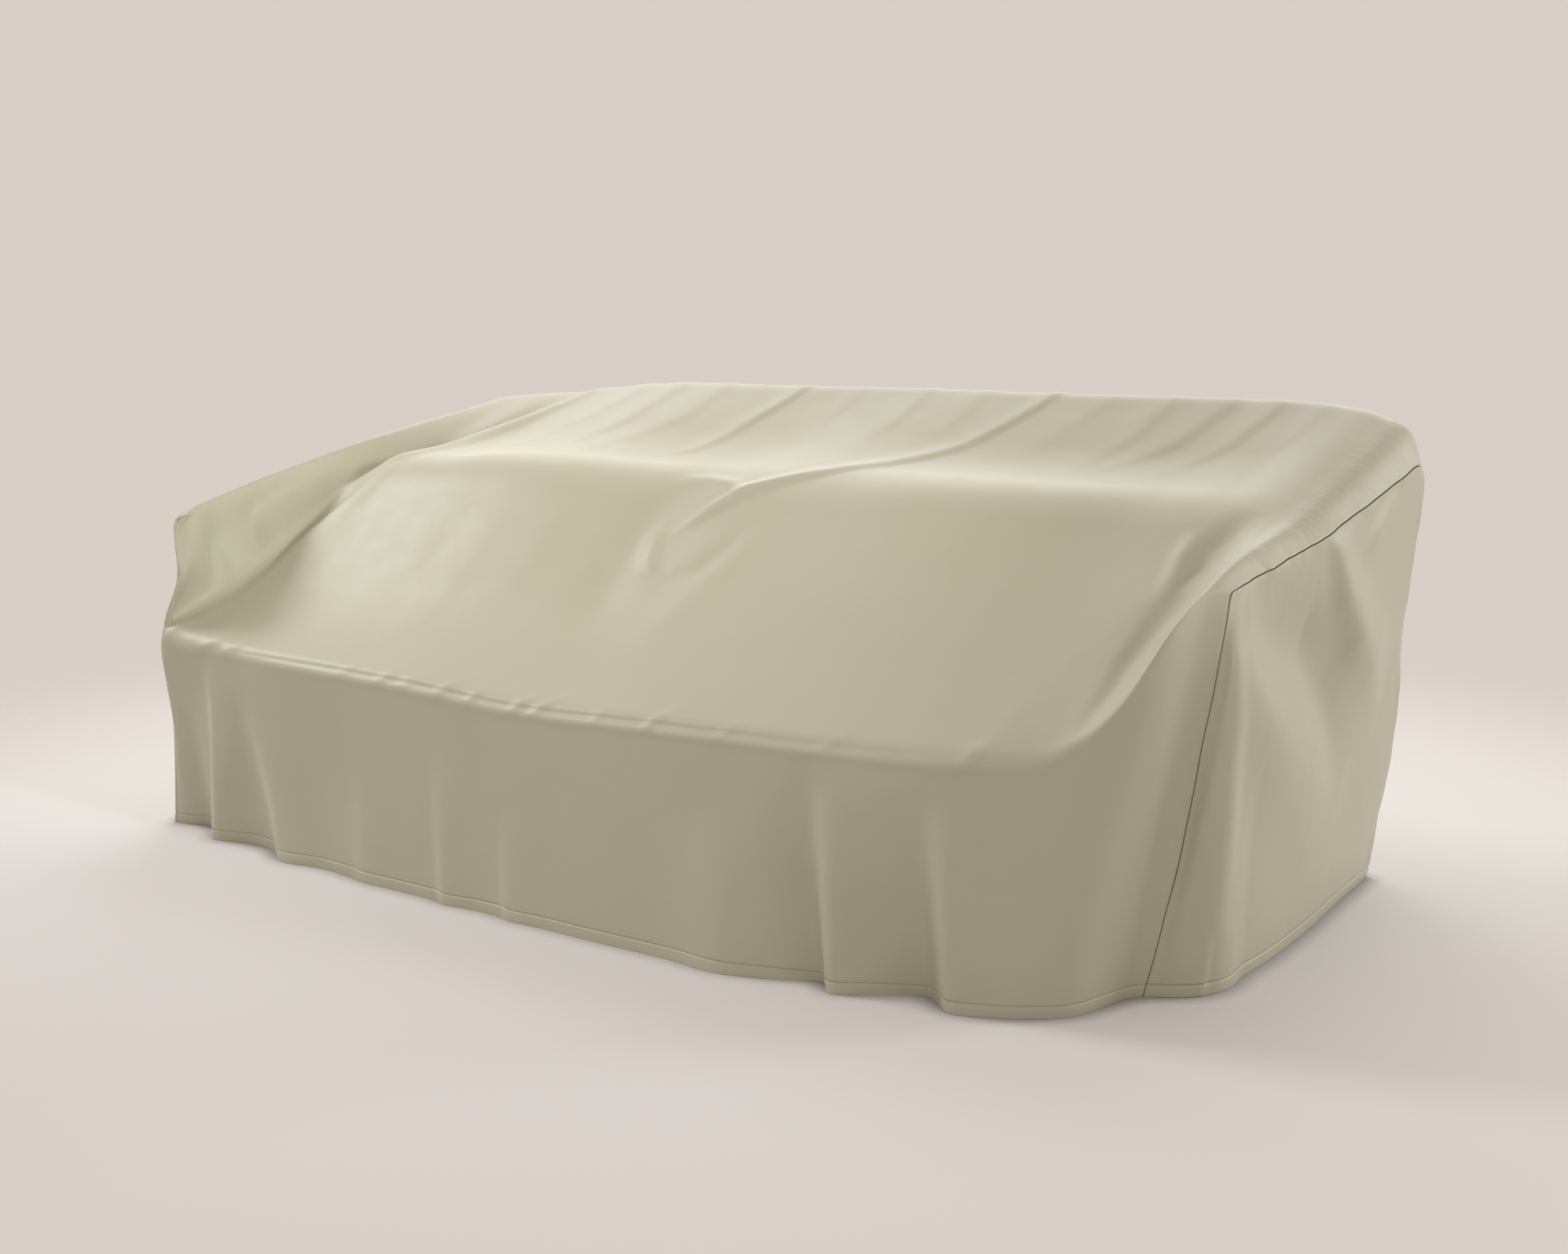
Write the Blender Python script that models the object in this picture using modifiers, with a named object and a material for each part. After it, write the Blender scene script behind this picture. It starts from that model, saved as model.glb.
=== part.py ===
"""Fitted outdoor sofa cover, in the shape in which it hangs over a two-cushion sofa.

Metres, +Z up. +X runs along the sofa to its right end, and the front faces -Y. The origin is on
the floor under the middle of the cover. The main panel runs in one piece from the front hem over
the seat and the back to the back hem. An end panel closes each end. The cover is hollow and open
at the floor.
"""

import bmesh
import bpy
import numpy as np

COLLECTION = "outdoor_sofa_cover"

CLOTH = 0.002
SEAM_GAP = 0.0009
HALF_LENGTH = 1.13
CLOTH_COLOUR = (0.52, 0.48, 0.36, 1.0)
CLOTH_ROUGHNESS = 0.65

# The mesh. The rows of quads up each wall crowd towards its top edge. The rows over the top and
# the columns across stand evenly between the listed places (place, number).
ROWS_UP = 9
ROW_CROWDING = 1.3
ROWS_OVER = ((0.40, 0), (0.46, 2), (0.96, 12), (1.30, 21), (1.58, 29))
COLUMNS = ((-1.13, 0), (-0.88, 11), (0.86, 50), (1.13, 61))

# How far up the main panel's cloth each of its lines lies, measured from the front hem, and the
# radius in which the cloth turns over those between the two hems.
HEM = 0.0
EDGE = 0.40
SEAT = 0.58
CREST = 1.06
SHELF = 1.24
BACK = 1.58
FOOT = 2.46
TURNS = ((EDGE, 0.026), (SEAT, 0.14), (CREST, 0.080), (SHELF, 0.10), (BACK, 0.075))

# The lines that shape the main panel. Each row is a place across the cloth, then x, y and z there.
FRONT_HEM = (
    (-1.13, -1.124, -0.387, 0.0),
    (-1.10, -1.124, -0.455, 0.0),
    (-1.05, -1.110, -0.468, 0.0),
    (-0.99, -1.055, -0.467, 0.0),
    (-0.90, -0.950, -0.476, 0.0),
    (-0.80, -0.840, -0.492, 0.0),
    (-0.66, -0.672, -0.525, 0.0),
    (-0.45, -0.450, -0.557, 0.0),
    (-0.15, -0.150, -0.572, 0.0),
    (0.10, 0.100, -0.587, 0.0),
    (0.40, 0.400, -0.581, 0.0),
    (0.65, 0.650, -0.552, 0.0),
    (0.80, 0.805, -0.523, 0.0),
    (0.92, 0.915, -0.497, 0.0),
    (1.00, 0.975, -0.441, 0.0),
    (1.06, 1.000, -0.340, 0.0),
    (1.10, 1.011, -0.314, 0.0),
    (1.13, 1.023, -0.300, 0.0),
)
FRONT_EDGE = (
    (-1.13, -1.140, -0.367, 0.605),
    (-1.10, -1.136, -0.425, 0.640),
    (-1.07, -1.120, -0.442, 0.540),
    (-1.04, -1.134, -0.454, 0.440),
    (-0.99, -1.100, -0.462, 0.402),
    (-0.90, -0.985, -0.470, 0.392),
    (-0.80, -0.860, -0.474, 0.388),
    (-0.66, -0.675, -0.477, 0.386),
    (-0.45, -0.450, -0.477, 0.382),
    (-0.15, -0.150, -0.477, 0.370),
    (0.10, 0.100, -0.477, 0.376),
    (0.40, 0.400, -0.477, 0.383),
    (0.65, 0.650, -0.477, 0.390),
    (0.80, 0.800, -0.477, 0.400),
    (0.92, 0.930, -0.447, 0.420),
    (1.00, 1.005, -0.392, 0.508),
    (1.06, 1.065, -0.327, 0.635),
    (1.10, 1.085, -0.242, 0.683),
    (1.13, 1.108, -0.207, 0.655),
)
SEAT_LINE = (
    (-1.13, -1.140, -0.240, 0.635),
    (-1.10, -1.131, -0.281, 0.681),
    (-1.07, -1.125, -0.290, 0.620),
    (-1.04, -1.110, -0.298, 0.520),
    (-0.99, -1.070, -0.302, 0.470),
    (-0.90, -0.955, -0.308, 0.460),
    (-0.80, -0.840, -0.310, 0.456),
    (-0.66, -0.668, -0.310, 0.453),
    (-0.45, -0.450, -0.310, 0.450),
    (-0.15, -0.150, -0.310, 0.436),
    (0.10, 0.100, -0.312, 0.446),
    (0.40, 0.400, -0.315, 0.458),
    (0.65, 0.650, -0.318, 0.474),
    (0.80, 0.800, -0.315, 0.484),
    (0.92, 0.930, -0.300, 0.511),
    (1.00, 1.004, -0.235, 0.565),
    (1.06, 1.065, -0.190, 0.665),
    (1.10, 1.091, -0.147, 0.698),
    (1.13, 1.114, -0.121, 0.668),
)
CUSHION_CREST = (
    (-1.13, -1.140, 0.098, 0.714),
    (-1.10, -1.116, 0.094, 0.760),
    (-1.07, -1.080, 0.080, 0.735),
    (-1.04, -1.030, 0.050, 0.700),
    (-0.99, -0.957, 0.015, 0.728),
    (-0.90, -0.885, 0.008, 0.738),
    (-0.80, -0.800, 0.000, 0.743),
    (-0.66, -0.660, 0.000, 0.755),
    (-0.45, -0.450, 0.010, 0.758),
    (-0.30, -0.300, 0.040, 0.750),
    (-0.15, -0.150, 0.080, 0.745),
    (0.00, 0.000, 0.065, 0.745),
    (0.10, 0.100, 0.075, 0.750),
    (0.40, 0.400, 0.070, 0.768),
    (0.65, 0.650, 0.090, 0.768),
    (0.80, 0.800, 0.110, 0.765),
    (0.92, 0.920, 0.100, 0.758),
    (1.06, 1.065, 0.101, 0.747),
    (1.10, 1.106, 0.107, 0.736),
    (1.13, 1.130, 0.109, 0.702),
)
SHELF_LINE = (
    (-1.13, -1.137, 0.263, 0.741),
    (-1.10, -1.112, 0.263, 0.786),
    (-1.07, -1.078, 0.255, 0.768),
    (-1.04, -1.030, 0.235, 0.735),
    (-0.99, -0.950, 0.205, 0.735),
    (-0.90, -0.875, 0.185, 0.752),
    (-0.80, -0.792, 0.170, 0.754),
    (-0.66, -0.660, 0.165, 0.768),
    (-0.45, -0.450, 0.175, 0.774),
    (-0.30, -0.300, 0.215, 0.766),
    (-0.15, -0.150, 0.250, 0.768),
    (0.10, 0.100, 0.245, 0.786),
    (0.40, 0.400, 0.250, 0.771),
    (0.65, 0.650, 0.268, 0.768),
    (0.80, 0.800, 0.280, 0.774),
    (0.92, 0.920, 0.270, 0.784),
    (1.06, 1.066, 0.263, 0.794),
    (1.10, 1.112, 0.263, 0.774),
    (1.13, 1.137, 0.263, 0.732),
)
BACK_EDGE = (
    (-1.13, -1.130, 0.603, 0.790),
    (-1.10, -1.105, 0.603, 0.832),
    (-1.05, -1.050, 0.603, 0.856),
    (-0.99, -0.980, 0.603, 0.866),
    (-0.90, -0.875, 0.603, 0.872),
    (-0.66, -0.660, 0.603, 0.900),
    (-0.15, -0.150, 0.603, 0.915),
    (0.40, 0.400, 0.603, 0.922),
    (0.80, 0.800, 0.603, 0.927),
    (0.92, 0.920, 0.603, 0.925),
    (1.00, 1.000, 0.603, 0.917),
    (1.06, 1.068, 0.603, 0.902),
    (1.10, 1.124, 0.603, 0.872),
    (1.13, 1.148, 0.603, 0.808),
)
BACK_HEM = (
    (-1.13, -1.085, 0.563, 0.0),
    (-1.05, -1.020, 0.563, 0.0),
    (-0.90, -0.870, 0.553, 0.0),
    (-0.66, -0.660, 0.553, 0.0),
    (0.65, 0.650, 0.553, 0.0),
    (0.80, 0.790, 0.553, 0.0),
    (0.92, 0.900, 0.563, 0.0),
    (1.13, 1.078, 0.563, 0.0),
)
LINES = (
    (HEM, FRONT_HEM),
    (EDGE, FRONT_EDGE),
    (SEAT, SEAT_LINE),
    (CREST, CUSHION_CREST),
    (SHELF, SHELF_LINE),
    (BACK, BACK_EDGE),
    (FOOT, BACK_HEM),
)

# Folds in the main panel. Each row of a fold is a point of its path: the place across and up the
# cloth, the height there, and the width to the left and to the right of the path.
FOLDS = {
    "crease over the right cushion": (
        (0.41, 1.57, 0.000, 0.022, 0.060),
        (0.39, 1.48, 0.012, 0.022, 0.070),
        (0.36, 1.40, 0.017, 0.022, 0.075),
        (0.32, 1.31, 0.020, 0.022, 0.075),
        (0.27, 1.24, 0.020, 0.022, 0.065),
        (0.22, 1.18, 0.016, 0.024, 0.050),
        (0.13, 1.11, 0.014, 0.028, 0.040),
        (0.06, 1.07, 0.015, 0.030, 0.034),
        (0.00, 1.03, 0.018, 0.030, 0.028),
        (-0.06, 0.96, 0.018, 0.026, 0.024),
        (-0.12, 0.90, 0.004, 0.020, 0.020),
    ),
    "crease over the middle": (
        (-0.20, 1.57, 0.000, 0.022, 0.060),
        (-0.215, 1.46, 0.012, 0.022, 0.065),
        (-0.235, 1.38, 0.016, 0.022, 0.070),
        (-0.25, 1.30, 0.015, 0.022, 0.070),
        (-0.275, 1.24, 0.010, 0.022, 0.050),
        (-0.33, 1.19, 0.000, 0.022, 0.040),
    ),
    "left edge of the cushions": (
        (-1.075, 0.27, 0.004, 0.024, 0.034),
        (-1.03, 0.36, 0.010, 0.024, 0.034),
        (-0.995, 0.45, 0.014, 0.022, 0.034),
        (-0.985, 0.60, 0.014, 0.022, 0.036),
        (-0.985, 0.80, 0.012, 0.024, 0.038),
        (-0.985, 0.95, 0.010, 0.028, 0.040),
        (-0.960, 1.07, 0.010, 0.030, 0.045),
        (-0.900, 1.22, 0.013, 0.032, 0.050),
        (-0.840, 1.36, 0.012, 0.032, 0.045),
        (-0.780, 1.52, 0.000, 0.032, 0.040),
    ),
    "hollow inside the left arm": (
        (-1.025, 0.44, -0.006, 0.024, 0.026),
        (-1.022, 0.60, -0.014, 0.026, 0.028),
        (-1.022, 0.80, -0.018, 0.028, 0.030),
        (-1.022, 0.95, -0.020, 0.030, 0.034),
        (-1.015, 1.10, -0.022, 0.036, 0.040),
        (-0.995, 1.25, -0.030, 0.044, 0.050),
        (-0.940, 1.38, -0.026, 0.048, 0.052),
        (-0.880, 1.52, 0.000, 0.048, 0.052),
    ),
    "valley between the cushions": (
        (-0.18, 1.06, 0.000, 0.050, 0.040),
        (-0.20, 0.96, -0.010, 0.040, 0.040),
        (-0.19, 0.86, -0.014, 0.038, 0.045),
        (-0.17, 0.74, -0.008, 0.040, 0.050),
        (-0.14, 0.62, 0.000, 0.050, 0.060),
    ),
    "hook under the valley": (
        (-0.11, 0.80, -0.004, 0.030, 0.030),
        (-0.05, 0.80, -0.009, 0.030, 0.028),
        (0.01, 0.85, -0.009, 0.030, 0.028),
        (0.05, 0.93, 0.000, 0.030, 0.028),
    ),
    "swell beside the valley": (
        (0.05, 0.90, 0.000, 0.045, 0.030),
        (0.03, 0.80, 0.007, 0.050, 0.035),
        (0.00, 0.70, 0.007, 0.060, 0.045),
        (-0.05, 0.58, 0.000, 0.070, 0.060),
    ),
    "ridge inside the right arm": (
        (0.925, 0.98, 0.000, 0.022, 0.022),
        (0.932, 0.91, 0.010, 0.022, 0.022),
        (0.935, 0.83, 0.010, 0.022, 0.022),
        (0.940, 0.76, 0.000, 0.026, 0.026),
    ),
    "recess inside the right arm": (
        (0.958, 0.78, 0.000, 0.024, 0.024),
        (0.965, 0.86, -0.012, 0.026, 0.026),
        (0.985, 0.92, -0.014, 0.028, 0.028),
        (1.020, 0.96, -0.010, 0.028, 0.028),
        (1.060, 0.99, 0.000, 0.026, 0.026),
    ),
    "hem fold at the left corner": (
        (-0.890, 0.38, 0.000, 0.060, 0.018),
        (-0.893, 0.20, 0.026, 0.060, 0.018),
        (-0.898, 0.00, 0.040, 0.065, 0.018),
    ),
    "hem dip at the left corner": (
        (-0.965, 0.32, 0.000, 0.030, 0.030),
        (-0.970, 0.15, -0.010, 0.030, 0.030),
        (-0.975, 0.00, -0.016, 0.030, 0.030),
    ),
}

# The pulls over the top of the back, from its edge forward. Columns: place across at the back,
# place across and up the cloth at the middle, height there, place across and up at the end.
PULLS = (
    (-0.63, -0.635, 1.40, 0.009, -0.72, 1.24),
    (-0.52, -0.515, 1.38, 0.011, -0.57, 1.20),
    (-0.40, -0.390, 1.40, 0.009, -0.45, 1.26),
    (-0.06, -0.055, 1.42, 0.004, -0.07, 1.32),
    (0.11, 0.115, 1.40, 0.010, 0.10, 1.28),
    (0.24, 0.250, 1.44, 0.008, 0.22, 1.34),
    (0.66, 0.635, 1.40, 0.010, 0.60, 1.26),
    (0.78, 0.735, 1.38, 0.012, 0.60, 1.22),
    (0.88, 0.845, 1.38, 0.012, 0.75, 1.22),
)
PULLS_FROM = 1.54
PULL_WIDTHS = (0.022, 0.050)

# The flares of the front skirt and the back one, from nothing at the top to their full height at
# the hem. Columns: place across and up the cloth at the top, place across at the hem, height
# there, and width towards the right end and towards the left end.
FRONT_FLARES = (
    (-0.82, 0.38, -0.69, 0.024, 0.070, 0.040),
    (-0.53, 0.26, -0.48, 0.010, 0.065, 0.033),
    (-0.30, 0.30, -0.25, 0.014, 0.060, 0.023),
    (-0.12, 0.22, -0.07, 0.012, 0.070, 0.025),
    (0.32, 0.26, 0.38, 0.020, 0.070, 0.075),
    (0.47, 0.40, 0.53, -0.034, 0.032, 0.055),
    (0.54, 0.30, 0.59, 0.024, 0.065, 0.030),
    (0.67, 0.34, 0.73, -0.036, 0.040, 0.080),
    (0.77, 0.28, 0.81, 0.026, 0.100, 0.030),
)
BACK_FLARES = (
    (-0.70, 2.00, -0.74, 0.020, 0.080, 0.080),
    (-0.22, 1.95, -0.20, -0.018, 0.080, 0.080),
    (0.20, 1.90, 0.24, 0.022, 0.080, 0.080),
    (0.66, 2.00, 0.68, 0.018, 0.080, 0.080),
)
HALFWAY_HEIGHT = 0.57

# Broad swells of the whole cover. Columns: x, y and z of the centre, the reach along each axis,
# and the push along each axis.
SWELLS = (
    (-1.13, -0.467, 0.34, 0.16, 0.16, 0.10, -0.014, -0.006, 0.0),
    (-1.13, -0.440, 0.53, 0.10, 0.14, 0.06, 0.016, 0.000, 0.0),
    (1.13, 0.593, 0.24, 0.20, 0.30, 0.18, 0.013, 0.010, 0.0),
    (-1.13, 0.593, 0.24, 0.20, 0.30, 0.18, -0.013, 0.010, 0.0),
)

# The hem of each end panel. Columns: share of the way from its front corner to its back one, and
# how far it stands out from the straight line between them.
RIGHT_HEM = (
    (0.00, 0.000),
    (0.03, 0.034),
    (0.07, 0.070),
    (0.23, 0.079),
    (0.50, 0.062),
    (0.80, 0.024),
    (1.00, 0.000),
)
LEFT_HEM = (
    (0.00, 0.000),
    (0.10, 0.020),
    (0.25, 0.030),
    (0.50, 0.035),
    (0.80, 0.020),
    (1.00, 0.000),
)

# Folds in the end panels, with the columns of FOLDS. The first two are metres along the panel
# from its front edge and metres up it.
RIGHT_FOLDS = {
    "front corner": (
        (0.05, 0.62, 0.000, 0.050, 0.030),
        (0.07, 0.50, 0.016, 0.060, 0.035),
        (0.085, 0.30, 0.020, 0.070, 0.040),
        (0.08, 0.12, 0.006, 0.080, 0.040),
    ),
    "long diagonal": (
        (0.12, 0.54, 0.000, 0.060, 0.080),
        (0.20, 0.42, 0.017, 0.060, 0.090),
        (0.35, 0.33, 0.017, 0.065, 0.100),
        (0.55, 0.24, 0.012, 0.070, 0.100),
        (0.80, 0.15, 0.005, 0.080, 0.100),
        (1.00, 0.08, 0.000, 0.080, 0.100),
    ),
    "hollow under the arm": (
        (0.14, 0.60, 0.000, 0.060, 0.050),
        (0.30, 0.52, -0.010, 0.060, 0.060),
        (0.50, 0.48, -0.016, 0.060, 0.070),
        (0.68, 0.45, -0.020, 0.060, 0.070),
        (0.79, 0.38, -0.016, 0.060, 0.060),
        (0.86, 0.24, 0.000, 0.060, 0.060),
    ),
    "rear fold": (
        (0.77, 0.65, 0.000, 0.050, 0.030),
        (0.80, 0.56, 0.022, 0.060, 0.032),
        (0.85, 0.48, 0.026, 0.070, 0.035),
        (0.93, 0.41, 0.022, 0.070, 0.040),
        (1.02, 0.34, 0.012, 0.070, 0.045),
        (1.12, 0.25, 0.000, 0.070, 0.050),
    ),
}
LEFT_FOLDS = {
    "front corner": (
        (0.06, 0.55, 0.000, 0.060, 0.040),
        (0.08, 0.30, 0.014, 0.080, 0.040),
        (0.08, 0.00, 0.004, 0.100, 0.040),
    ),
    "middle dip": (
        (0.40, 0.66, 0.000, 0.070, 0.070),
        (0.43, 0.40, -0.014, 0.090, 0.090),
        (0.46, 0.10, -0.004, 0.100, 0.100),
    ),
    "rear fold": (
        (0.62, 0.70, 0.000, 0.040, 0.040),
        (0.66, 0.45, 0.014, 0.060, 0.060),
        (0.70, 0.20, 0.004, 0.080, 0.080),
    ),
}
RIGHT = 1
LEFT = -1
ENDS = {
    "end_panel_right": (RIGHT, RIGHT_HEM, RIGHT_FOLDS),
    "end_panel_left": (LEFT, LEFT_HEM, LEFT_FOLDS),
}

# The folds fade out over this distance from a seam, none is narrower than the mesh can carry, and
# the hem lies on the floor: what a fold lifts there settles over this height.
SEAM_FADE = 0.04
NARROWEST = 0.026
HEM_SETTLES = 0.15


def cubic(at, places, values):
    """A smooth curve through the values, read at the given places."""
    step = np.diff(places)
    slope = np.diff(values) / step
    inner = (slope[:-1] * step[1:] + slope[1:] * step[:-1]) / (step[1:] + step[:-1])
    tangent = np.concatenate([slope[:1], inner, slope[-1:]])
    span = np.clip(np.searchsorted(places, at) - 1, 0, len(step) - 1)
    width = step[span]
    share = (np.clip(at, places[0], places[-1]) - places[span]) / width
    rest = 1 - share
    return (
        (1 + 2 * share) * rest**2 * values[span]
        + (1 + 2 * rest) * share**2 * values[span + 1]
        + share * rest * width * (rest * tangent[span] - share * tangent[span + 1])
    )


def smooth_step(share):
    """From 0 to 1, level at both ends."""
    share = np.clip(share, 0, 1)
    return share**2 * (3 - 2 * share)


def ruled(stretches):
    """Places that stand evenly between the listed ones, each list row a place and its number."""
    places, numbers = np.array(stretches).T
    return np.interp(np.arange(numbers[-1] + 1), numbers, places)


def line_points(line, across):
    """The points of one line of the cover at the given places across."""
    table = np.array(line).T
    return np.stack([cubic(across, table[0], column) for column in table[1:]], axis=-1)


def taut(across, run):
    """The smooth surface: each section is straight from line to line and rounded there."""
    runs = [place for place, _ in LINES]
    marks = [line_points(line, across) for _, line in LINES]
    climbs = [
        (marks[i + 1] - marks[i]) / (runs[i + 1] - runs[i]) for i in range(len(LINES) - 1)
    ]
    points = marks[0] + climbs[0] * run[..., None]
    for i, (place, radius) in enumerate(TURNS):
        past = run - place
        near = np.abs(past) < radius
        reach = np.where(near, (past**2 + radius**2) / (2 * radius), np.abs(past))
        points = points + (reach + past)[..., None] / 2 * (climbs[i + 1] - climbs[i])
    return points


def fold_paths():
    """The path of every fold in the main panel."""
    paths = list(FOLDS.values())
    for back, middle, middle_run, height, end, end_run in PULLS:
        path = (
            (back, PULLS_FROM, 0.0, *PULL_WIDTHS),
            (middle, middle_run, height, *PULL_WIDTHS),
            (end, end_run, 0.0, *PULL_WIDTHS),
        )
        paths.append(path)
    for foot, flares in ((HEM, FRONT_FLARES), (FOOT, BACK_FLARES)):
        for top, top_run, bottom, height, right, left in flares:
            path = (
                (top, top_run, 0.0, right, left),
                ((top + bottom) / 2, (top_run + foot) / 2, HALFWAY_HEIGHT * height, right, left),
                (bottom, foot, height, right, left),
            )
            paths.append(path)
    return paths


def ridge(across, run, path):
    """The height of one fold at each point of the cloth."""
    rows = np.array(path)
    best = np.full(across.shape, np.inf)
    height = np.zeros(across.shape)
    for start, end in zip(rows[:-1], rows[1:]):
        ahead = end[:2] - start[:2]
        offset_x = across - start[0]
        offset_y = run - start[1]
        share = np.clip((offset_x * ahead[0] + offset_y * ahead[1]) / (ahead @ ahead), 0, 1)
        off_x = offset_x - share * ahead[0]
        off_y = offset_y - share * ahead[1]
        away = np.hypot(off_x, off_y)
        here = start[2:] + share[..., None] * (end - start)[2:]
        on_left = ahead[0] * off_y > ahead[1] * off_x
        width = np.maximum(np.where(on_left, here[..., 1], here[..., 2]), NARROWEST)
        nearer = away < best
        best = np.where(nearer, away, best)
        height = np.where(nearer, here[..., 0] * np.exp(-((away / width) ** 2)), height)
    return height


def normals(points):
    """The normal at each point of a grid of points."""
    along = np.gradient(points, axis=0)
    up = np.gradient(points, axis=1)
    normal = np.cross(along, up)
    return normal / np.linalg.norm(normal, axis=-1, keepdims=True)


def swell(points):
    """The points after the broad swells have pushed them, none of them below the floor."""
    moved = points.copy()
    for row in SWELLS:
        centre, reach, push = np.array(row).reshape(3, 3)
        away = ((points - centre) / reach) ** 2
        moved += np.exp(-away.sum(axis=-1))[..., None] * push
    moved[..., 2] = np.maximum(moved[..., 2], 0)
    return moved


def draped(across, run):
    """The main panel's outer face, with its folds, for a grid of places on the cloth."""
    smooth = taut(across, run)
    height = sum(ridge(across, run, path) for path in fold_paths())
    height = height * smooth_step((HALF_LENGTH - np.abs(across)) / SEAM_FADE)
    points = swell(smooth + height[..., None] * normals(smooth))
    in_front = run < CREST
    from_hem = np.where(in_front, run, FOOT - run)
    hem_lift = np.where(in_front, points[:, :1, 2], points[:, -1:, 2])
    points[..., 2] -= hem_lift * (1 - smooth_step(from_hem / HEM_SETTLES))
    return points


def seam(side, run):
    """The seam line of one end: the edge of the main panel there."""
    return taut(np.full(run.shape, side * HALF_LENGTH), run)


def end_panel(side, hem, folds, along, up):
    """An end panel's outer face, stretched between its seam and its hem, with its folds."""
    front = seam(side, EDGE * up)
    rear = seam(side, FOOT - (FOOT - BACK) * up)
    top = seam(side, EDGE + (BACK - EDGE) * along)
    front_low, rear_low, front_high, rear_high = seam(side, np.array([HEM, FOOT, EDGE, BACK]))
    places, stand = np.array(hem).T
    a = along[..., None]
    b = up[..., None]
    low = (1 - a) * front_low + a * rear_low
    high = (1 - a) * front_high + a * rear_high
    floor = low.copy()
    floor[..., 0] += side * cubic(along, places, stand)
    smooth = (1 - a) * front + a * rear + (1 - b) * (floor - low) + b * (top - high)
    metres_along = along * (rear_low - front_low)[1]
    metres_up = up * front_high[2]
    height = sum(ridge(metres_along, metres_up, path) for path in folds.values())
    from_ends = np.minimum(metres_along, metres_along.max() - metres_along)
    from_seam = np.minimum(from_ends, front_high[2] - metres_up)
    height = side * height * smooth_step(from_seam / SEAM_FADE)
    return swell(smooth + height[..., None] * normals(smooth))


def clear_scene():
    """An empty scene to build in."""
    for thing in list(bpy.data.objects):
        bpy.data.objects.remove(thing, do_unlink=True)


def cloth_material(name):
    """Satin-matte coated cloth, in warm khaki."""
    material = bpy.data.materials.new(name)
    material.use_nodes = True
    shader = material.node_tree.nodes["Principled BSDF"]
    shader.inputs["Base Color"].default_value = CLOTH_COLOUR
    shader.inputs["Roughness"].default_value = CLOTH_ROUGHNESS
    shader.inputs["Metallic"].default_value = 0.0
    return material


def sheet(name, face, collection, side):
    """One panel: a grid primitive laid on its outer face, then thickened inwards."""
    columns, rows = (count - 1 for count in face.shape[:2])
    form = bmesh.new()
    bmesh.ops.create_grid(form, x_segments=columns, y_segments=rows, size=0.5)
    for vertex in form.verts:
        column = round((vertex.co.x + 0.5) * columns)
        row = round((vertex.co.y + 0.5) * rows)
        vertex.co = face[column, row]
    if side == LEFT:
        bmesh.ops.reverse_faces(form, faces=form.faces)
    mesh = bpy.data.meshes.new(name)
    form.to_mesh(mesh)
    form.free()
    mesh.materials.append(cloth_material(name + "_cloth"))
    mesh.shade_smooth()
    panel = bpy.data.objects.new(name, mesh)
    collection.objects.link(panel)
    solidify = panel.modifiers.new("cloth thickness", "SOLIDIFY")
    solidify.thickness = CLOTH
    solidify.offset = -1.0
    return panel


def set_back(face, facing, seam_facing):
    """An end panel's face with its seam edges drawn back, clear of the main panel's thickness."""
    main_facing = facing.copy()
    main_facing[0] = seam_facing[: ROWS_UP + 1]
    main_facing[-1] = seam_facing[: -ROWS_UP - 2 : -1]
    main_facing[:, -1] = seam_facing[ROWS_UP : -ROWS_UP]
    column, row = np.indices(face.shape[:2])
    last = len(face) - 1
    on_seam = (column == 0) | (column == last) | (row == ROWS_UP)
    inner = face[np.clip(column, 1, last - 1), np.minimum(row, ROWS_UP - 1)]
    ahead = np.where(on_seam[..., None], inner - face, 1.0)
    ahead = ahead / np.linalg.norm(ahead, axis=-1, keepdims=True)
    turn = np.linalg.norm(np.cross(facing, main_facing), axis=-1)
    return face + (on_seam * (CLOTH * turn + SEAM_GAP))[..., None] * ahead


def main():
    clear_scene()
    collection = bpy.data.collections.new(COLLECTION)
    bpy.context.scene.collection.children.link(collection)
    up = 1 - (1 - np.linspace(0, 1, ROWS_UP + 1)) ** ROW_CROWDING
    front = EDGE * up
    over = ruled(ROWS_OVER)
    rear = FOOT - (FOOT - BACK) * up[::-1]
    rows = np.concatenate([front, over[1:], rear[1:]])
    face = draped(*np.meshgrid(ruled(COLUMNS), rows, indexing="ij"))
    along = (over - EDGE) / (BACK - EDGE)
    sheet("main_panel", face, collection, RIGHT)
    facing = normals(face)
    for name, (side, hem, folds) in ENDS.items():
        end = end_panel(side, hem, folds, *np.meshgrid(along, up, indexing="ij"))
        drawn = set_back(end, normals(end) * side, facing[-1 if side == RIGHT else 0])
        sheet(name, drawn, collection, side)


main()
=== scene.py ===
"""Outdoor sofa cover: the looks of a fitted cloth cover, hanging over a two-cushion sofa.

Run as a script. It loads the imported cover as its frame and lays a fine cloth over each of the
three panels: the same drape as the solids, with creases, puckers, a stitched hem and rolled
seams. Metres, +Z up, +X to the cover's right end and -Y to its front.

A place on the main panel is given by two lengths of its cloth: "across", from the left seam at
-1.13 to the right one at 1.13, and "run", from the front hem at 0 up over the seat and the back
to the back hem at 2.46. A place on an end panel is given by "along", the length of the seam over
its top from the front edge, at 0, to the back edge, at 1.18, and by the metres up from its hem.
"""

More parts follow.
